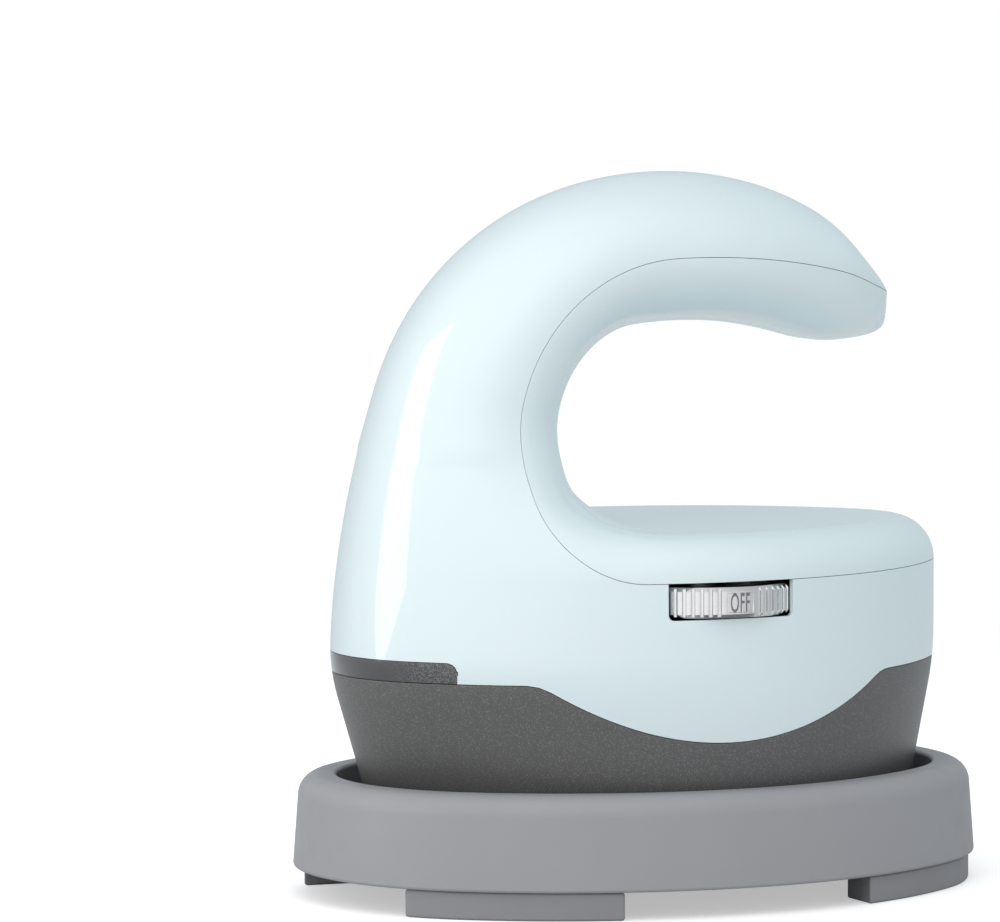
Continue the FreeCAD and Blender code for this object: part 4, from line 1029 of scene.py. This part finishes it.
def dial_wheel():
    """Ribbed rim with plain sunk panels for the marks, a dished top and a hub."""
    tooth = 360.0 / DIAL_RIBS
    turns = sorted([((k + part - 0.25) * tooth % 360.0, depth) for k in range(DIAL_RIBS)
                    for part, depth in RIB_SHAPE]
                   + [((k * DIAL_STEP + side * edge) % 360.0, 0.0) for k in range(4)
                      for side in (-1, 1) for edge in (PANEL_HALF, PANEL_HALF - PANEL_SLOPE)])
    edge = [(0.0, DIAL_CHAMFER), (DIAL_CHAMFER - DIAL_GROOVE, DIAL_GROOVE), (DIAL_CHAMFER, 0.0)]
    sides = edge + [(PANEL_EDGE, 0.0), (PANEL_EDGE + PANEL_STEP, 0.0)]
    sides += [(DIAL_THICKNESS - z, inset) for z, inset in sides[::-1]]
    verts = []
    for z, inset in sides:
        for turn, depth in turns:
            offset = label_offset(turn)
            cut = DIAL_GROOVE * depth
            if offset is not None and abs(offset) < LABEL_HALF:
                inner = (abs(offset) < PANEL_HALF - PANEL_SLOPE / 2
                         and PANEL_EDGE + HAIR < z < DIAL_THICKNESS - PANEL_EDGE - HAIR)
                cut = PANEL_DEPTH if inner else 0.0
            verts.append(dial_point(DIAL_RADIUS - max(inset, cut), turn, z))
    for r, depth in ((DISH_R, 0.0), (DISH_R, DISH_DEPTH), (HUB_R, DISH_DEPTH), (HUB_R, HUB_DEPTH),
                     (SCREW_R, HUB_DEPTH), (SCREW_R, WEB_DEPTH), (SHAFT_R, WEB_DEPTH),
                     (SHAFT_R, DIAL_THICKNESS)):
        verts += [dial_point(r, turn, DIAL_THICKNESS - depth) for turn, _ in turns]
    count, rows = len(turns), len(verts) // len(turns)
    faces = grid_faces(rows, count, closed=True)
    last = (rows - 1) * count
    faces += [(last + c, last + (c + 1) % count, (c + 1) % count, c) for c in range(count)]
    wheel = mesh_object("dial_wheel_ribbed", verts, faces, "dial", CHROME)
    wheel.data.set_sharp_from_angle(angle=math.radians(RIB_ANGLE))
    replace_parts(wheel, "dial_wheel")


LETTER_SIZE, LETTER_NARROW, LETTER_RISE = 4.65, 0.445, 0.03
LETTER_BOLD, LETTER_SPACE = 0.04, 1.1


def dial_label(text, k):
    """Generic setting mark on a plain stretch of the rim, wrapped on its radius."""
    curve = bpy.data.curves.new("label_text", "FONT")
    curve.body, curve.size = text, LETTER_SIZE
    curve.align_x, curve.align_y = "CENTER", "CENTER"
    curve.extrude, curve.offset, curve.space_character = LETTER_RISE, LETTER_BOLD, LETTER_SPACE
    flat = bpy.data.objects.new("label_text", curve)
    letters = bpy.data.meshes.new_from_object(flat)
    xs = [v.co.x for v in letters.vertices]
    ys = [v.co.y for v in letters.vertices]
    middle_x, middle_y = (min(xs) + max(xs)) / 2, (min(ys) + max(ys)) / 2
    verts = []
    for v in letters.vertices:
        along = math.degrees((v.co.x - middle_x) * LETTER_NARROW / DIAL_RADIUS)
        verts.append(dial_point(DIAL_RADIUS - PANEL_DEPTH + v.co.z, k * DIAL_STEP - along,
                                DIAL_THICKNESS / 2 + v.co.y - middle_y))
    faces = [tuple(face.vertices) for face in letters.polygons]
    bpy.data.objects.remove(flat)
    bpy.data.curves.remove(curve)
    bpy.data.meshes.remove(letters)
    mesh_object(f"dial_mark_{k}", verts, faces, "dial", INK, flat=True)


heat_plate()
cord_gland()
dial_wheel()
for k, text in enumerate(("OFF", "1", "2", "3")):
    dial_label(text, k)

# ------------ frame nodes that stay
SLOT_MATERIALS = {
    "shell": SHELL, "skirt": SKIRT, "window": WINDOW, "dial": CHROME, "stand": STAND, "foot": FOOT,
    "pad": RUBBER, "plate": CERAMIC, "gasket": GASKET, "steel": STEEL, "shield": SHIELD,
    "board": BOARD, "black": BLACK, "relay": RELAY, "capacitor": SLEEVE, "led": LENS,
    "insulation": FIBRE, "element": MICA, "brass": BRASS, "lead": SILICONE}
for part in frame["record"]["subparts"]:
    for holder in NODES[part["node"]].material_slots:
        holder.link = "OBJECT"
        holder.material = SLOT_MATERIALS[part["material_slot"]]


# ------------ stage, camera, lights
CAMERA_AZIMUTH, CAMERA_ELEVATION = math.radians(-25.6), math.radians(4.7)
CAMERA_DISTANCE, CAMERA_HEIGHT = 1.1988, 0.063
CAMERA_LENS, CAMERA_SHIFT = 239.76, (-0.1364, 0.0747)


def camera():
    """The photo's view, as fitted to its outlines."""
    data = bpy.data.cameras.new("photo_camera")
    data.sensor_width, data.lens = 36.0, CAMERA_LENS
    data.shift_x, data.shift_y = CAMERA_SHIFT
    data.clip_start, data.clip_end = 0.05, 20.0
    back = Vector((math.sin(CAMERA_AZIMUTH) * math.cos(CAMERA_ELEVATION),
                   -math.cos(CAMERA_AZIMUTH) * math.cos(CAMERA_ELEVATION),
                   math.sin(CAMERA_ELEVATION)))
    obj = new_object("photo_camera", data)
    obj.location = Vector((0.0, 0.0, CAMERA_HEIGHT)) + back * CAMERA_DISTANCE
    obj.rotation_euler = back.to_track_quat("Z", "Y").to_euler()
    bpy.context.scene.camera = obj


def softbox(name, place, turn, width, height, power):
    """Area light at a place in metres, with a rotation."""
    data = bpy.data.lights.new(name, "AREA")
    data.shape, data.size, data.size_y, data.energy = "RECTANGLE", width, height, power
    obj = new_object(name, data)
    obj.location, obj.rotation_euler = place, turn.to_euler()
    return obj


# A long leaning strip at the nose side draws the clear highlight down the spine.
STRIP_PLACE, STRIP_WIDTH, STRIP_LENGTH, STRIP_POWER = (-1.0, 0.4, 0.48), 0.43, 1.08, 2.4
STRIP_TURN = (Matrix.Rotation(math.radians(58), 3, "X")
              @ Matrix.Rotation(math.radians(-90), 3, "Y"))
# A large light overhead fills, and isn't mirrored in the gloss.
TOP_PLACE, TOP_SIZE, TOP_POWER = (-0.3, -0.7, 1.25), 1.1, 5.1
TOP_TURN = (Vector(TOP_PLACE) - Vector((0.0, 0.0, 0.06))).to_track_quat("Z", "Y")

camera()
softbox("nose_strip", STRIP_PLACE, STRIP_TURN, STRIP_WIDTH, STRIP_LENGTH, STRIP_POWER)
softbox("top", TOP_PLACE, TOP_TURN, TOP_SIZE, TOP_SIZE, TOP_POWER).visible_glossy = False

SIDE_WAY = Vector((-0.8, -0.55, 0.24)).normalized()    # where the surround is brightest
WORLD_STOPS = [(0.0, (0.56, 0.66, 0.7)), (0.14, (0.55, 0.64, 0.68)), (0.35, (0.53, 0.57, 0.59)),
               (0.65, (0.87, 0.88, 0.89)), (0.85, (1.03, 1.03, 1.03)), (1.0, (1.22, 1.22, 1.22))]


def seen_directly(owner, *others):
    """1 for what the camera sees, directly or by the other kinds of ray."""
    path = node(owner, "ShaderNodeLightPath", {})
    value = path.outputs["Is Camera Ray"]
    for name in others:
        value = node(owner, "ShaderNodeMath", {0: value, 1: path.outputs[name]},
                     operation="MAXIMUM").outputs[0]
    return value


def mix(owner, factor, first, second):
    """Mix of two shaders."""
    values = {0: factor, 1: first.outputs[0], 2: second.outputs[0]}
    return node(owner, "ShaderNodeMixShader", values)


def world():
    """Soft surround, brighter towards the lamp's side; directly or through glass it is white."""
    made = bpy.data.worlds.new("studio")
    made.use_nodes = True
    toward = node(made, "ShaderNodeVectorMath", {0: coords(made, "Generated"), 1: SIDE_WAY},
                  operation="DOT_PRODUCT")
    share = node(made, "ShaderNodeMapRange", {"Value": toward.outputs["Value"], "From Min": -1.0})
    top = WORLD_STOPS[-1][1][0]
    tones = ramp(made, share.outputs["Result"],
                 [(position, shade(level, 1 / top)) for position, level in WORLD_STOPS], "EASE")
    surround = made.node_tree.nodes["Background"]
    feed(made, surround, {"Strength": top, "Color": tones})
    white = node(made, "ShaderNodeBackground", {"Color": (1.0, 1.0, 1.0, 1.0)})
    seen = mix(made, seen_directly(made, "Is Transmission Ray"), surround, white)
    feed(made, made.node_tree.nodes["World Output"], {"Surface": seen.outputs[0]})
    bpy.context.scene.world = made


FLOOR_HALF, FLOOR_GREY, FLOOR_GLOW = 1.2, 0.72, 0.45
FLOOR_FADE = (0.16, 0.5)     # metres from the middle over which the floor turns plain white


def floor():
    """Pale floor that keeps the shadow near the object and runs out into the surround."""
    mesh = bpy.data.meshes.new("studio_floor")
    mesh.from_pydata([(x * FLOOR_HALF, y * FLOOR_HALF, 0.0)
                      for x, y in ((-1, -1), (1, -1), (1, 1), (-1, 1))], [], [(0, 1, 2, 3)])
    mat, shader = material("floor_white", grey(FLOOR_GREY), 0.6)
    feed(mat, shader, {"Specular IOR Level": 0.1})
    glow = node(mat, "ShaderNodeEmission", {"Strength": FLOOR_GLOW})
    both = node(mat, "ShaderNodeAddShader", {0: shader.outputs[0], 1: glow.outputs[0]})
    length = node(mat, "ShaderNodeVectorMath", {0: coords(mat)}, operation="LENGTH")
    fade = node(mat, "ShaderNodeMapRange", {
        "Value": length.outputs["Value"], "From Min": FLOOR_FADE[0], "From Max": FLOOR_FADE[1]},
                interpolation_type="SMOOTHSTEP")
    near = mix(mat, seen_directly(mat, "Is Transmission Ray"), shader, both)
    far = mix(mat, seen_directly(mat), node(mat, "ShaderNodeBsdfTransparent", {}),
              node(mat, "ShaderNodeEmission", {}))
    whole = mix(mat, fade.outputs["Result"], near, far)
    feed(mat, mat.node_tree.nodes["Material Output"], {"Surface": whole.outputs[0]})
    mesh.materials.append(mat)
    obj = new_object("studio_floor", mesh)


world()
floor()

bpy.context.scene.view_settings.view_transform = "Standard"
bpy.context.view_layer.update()
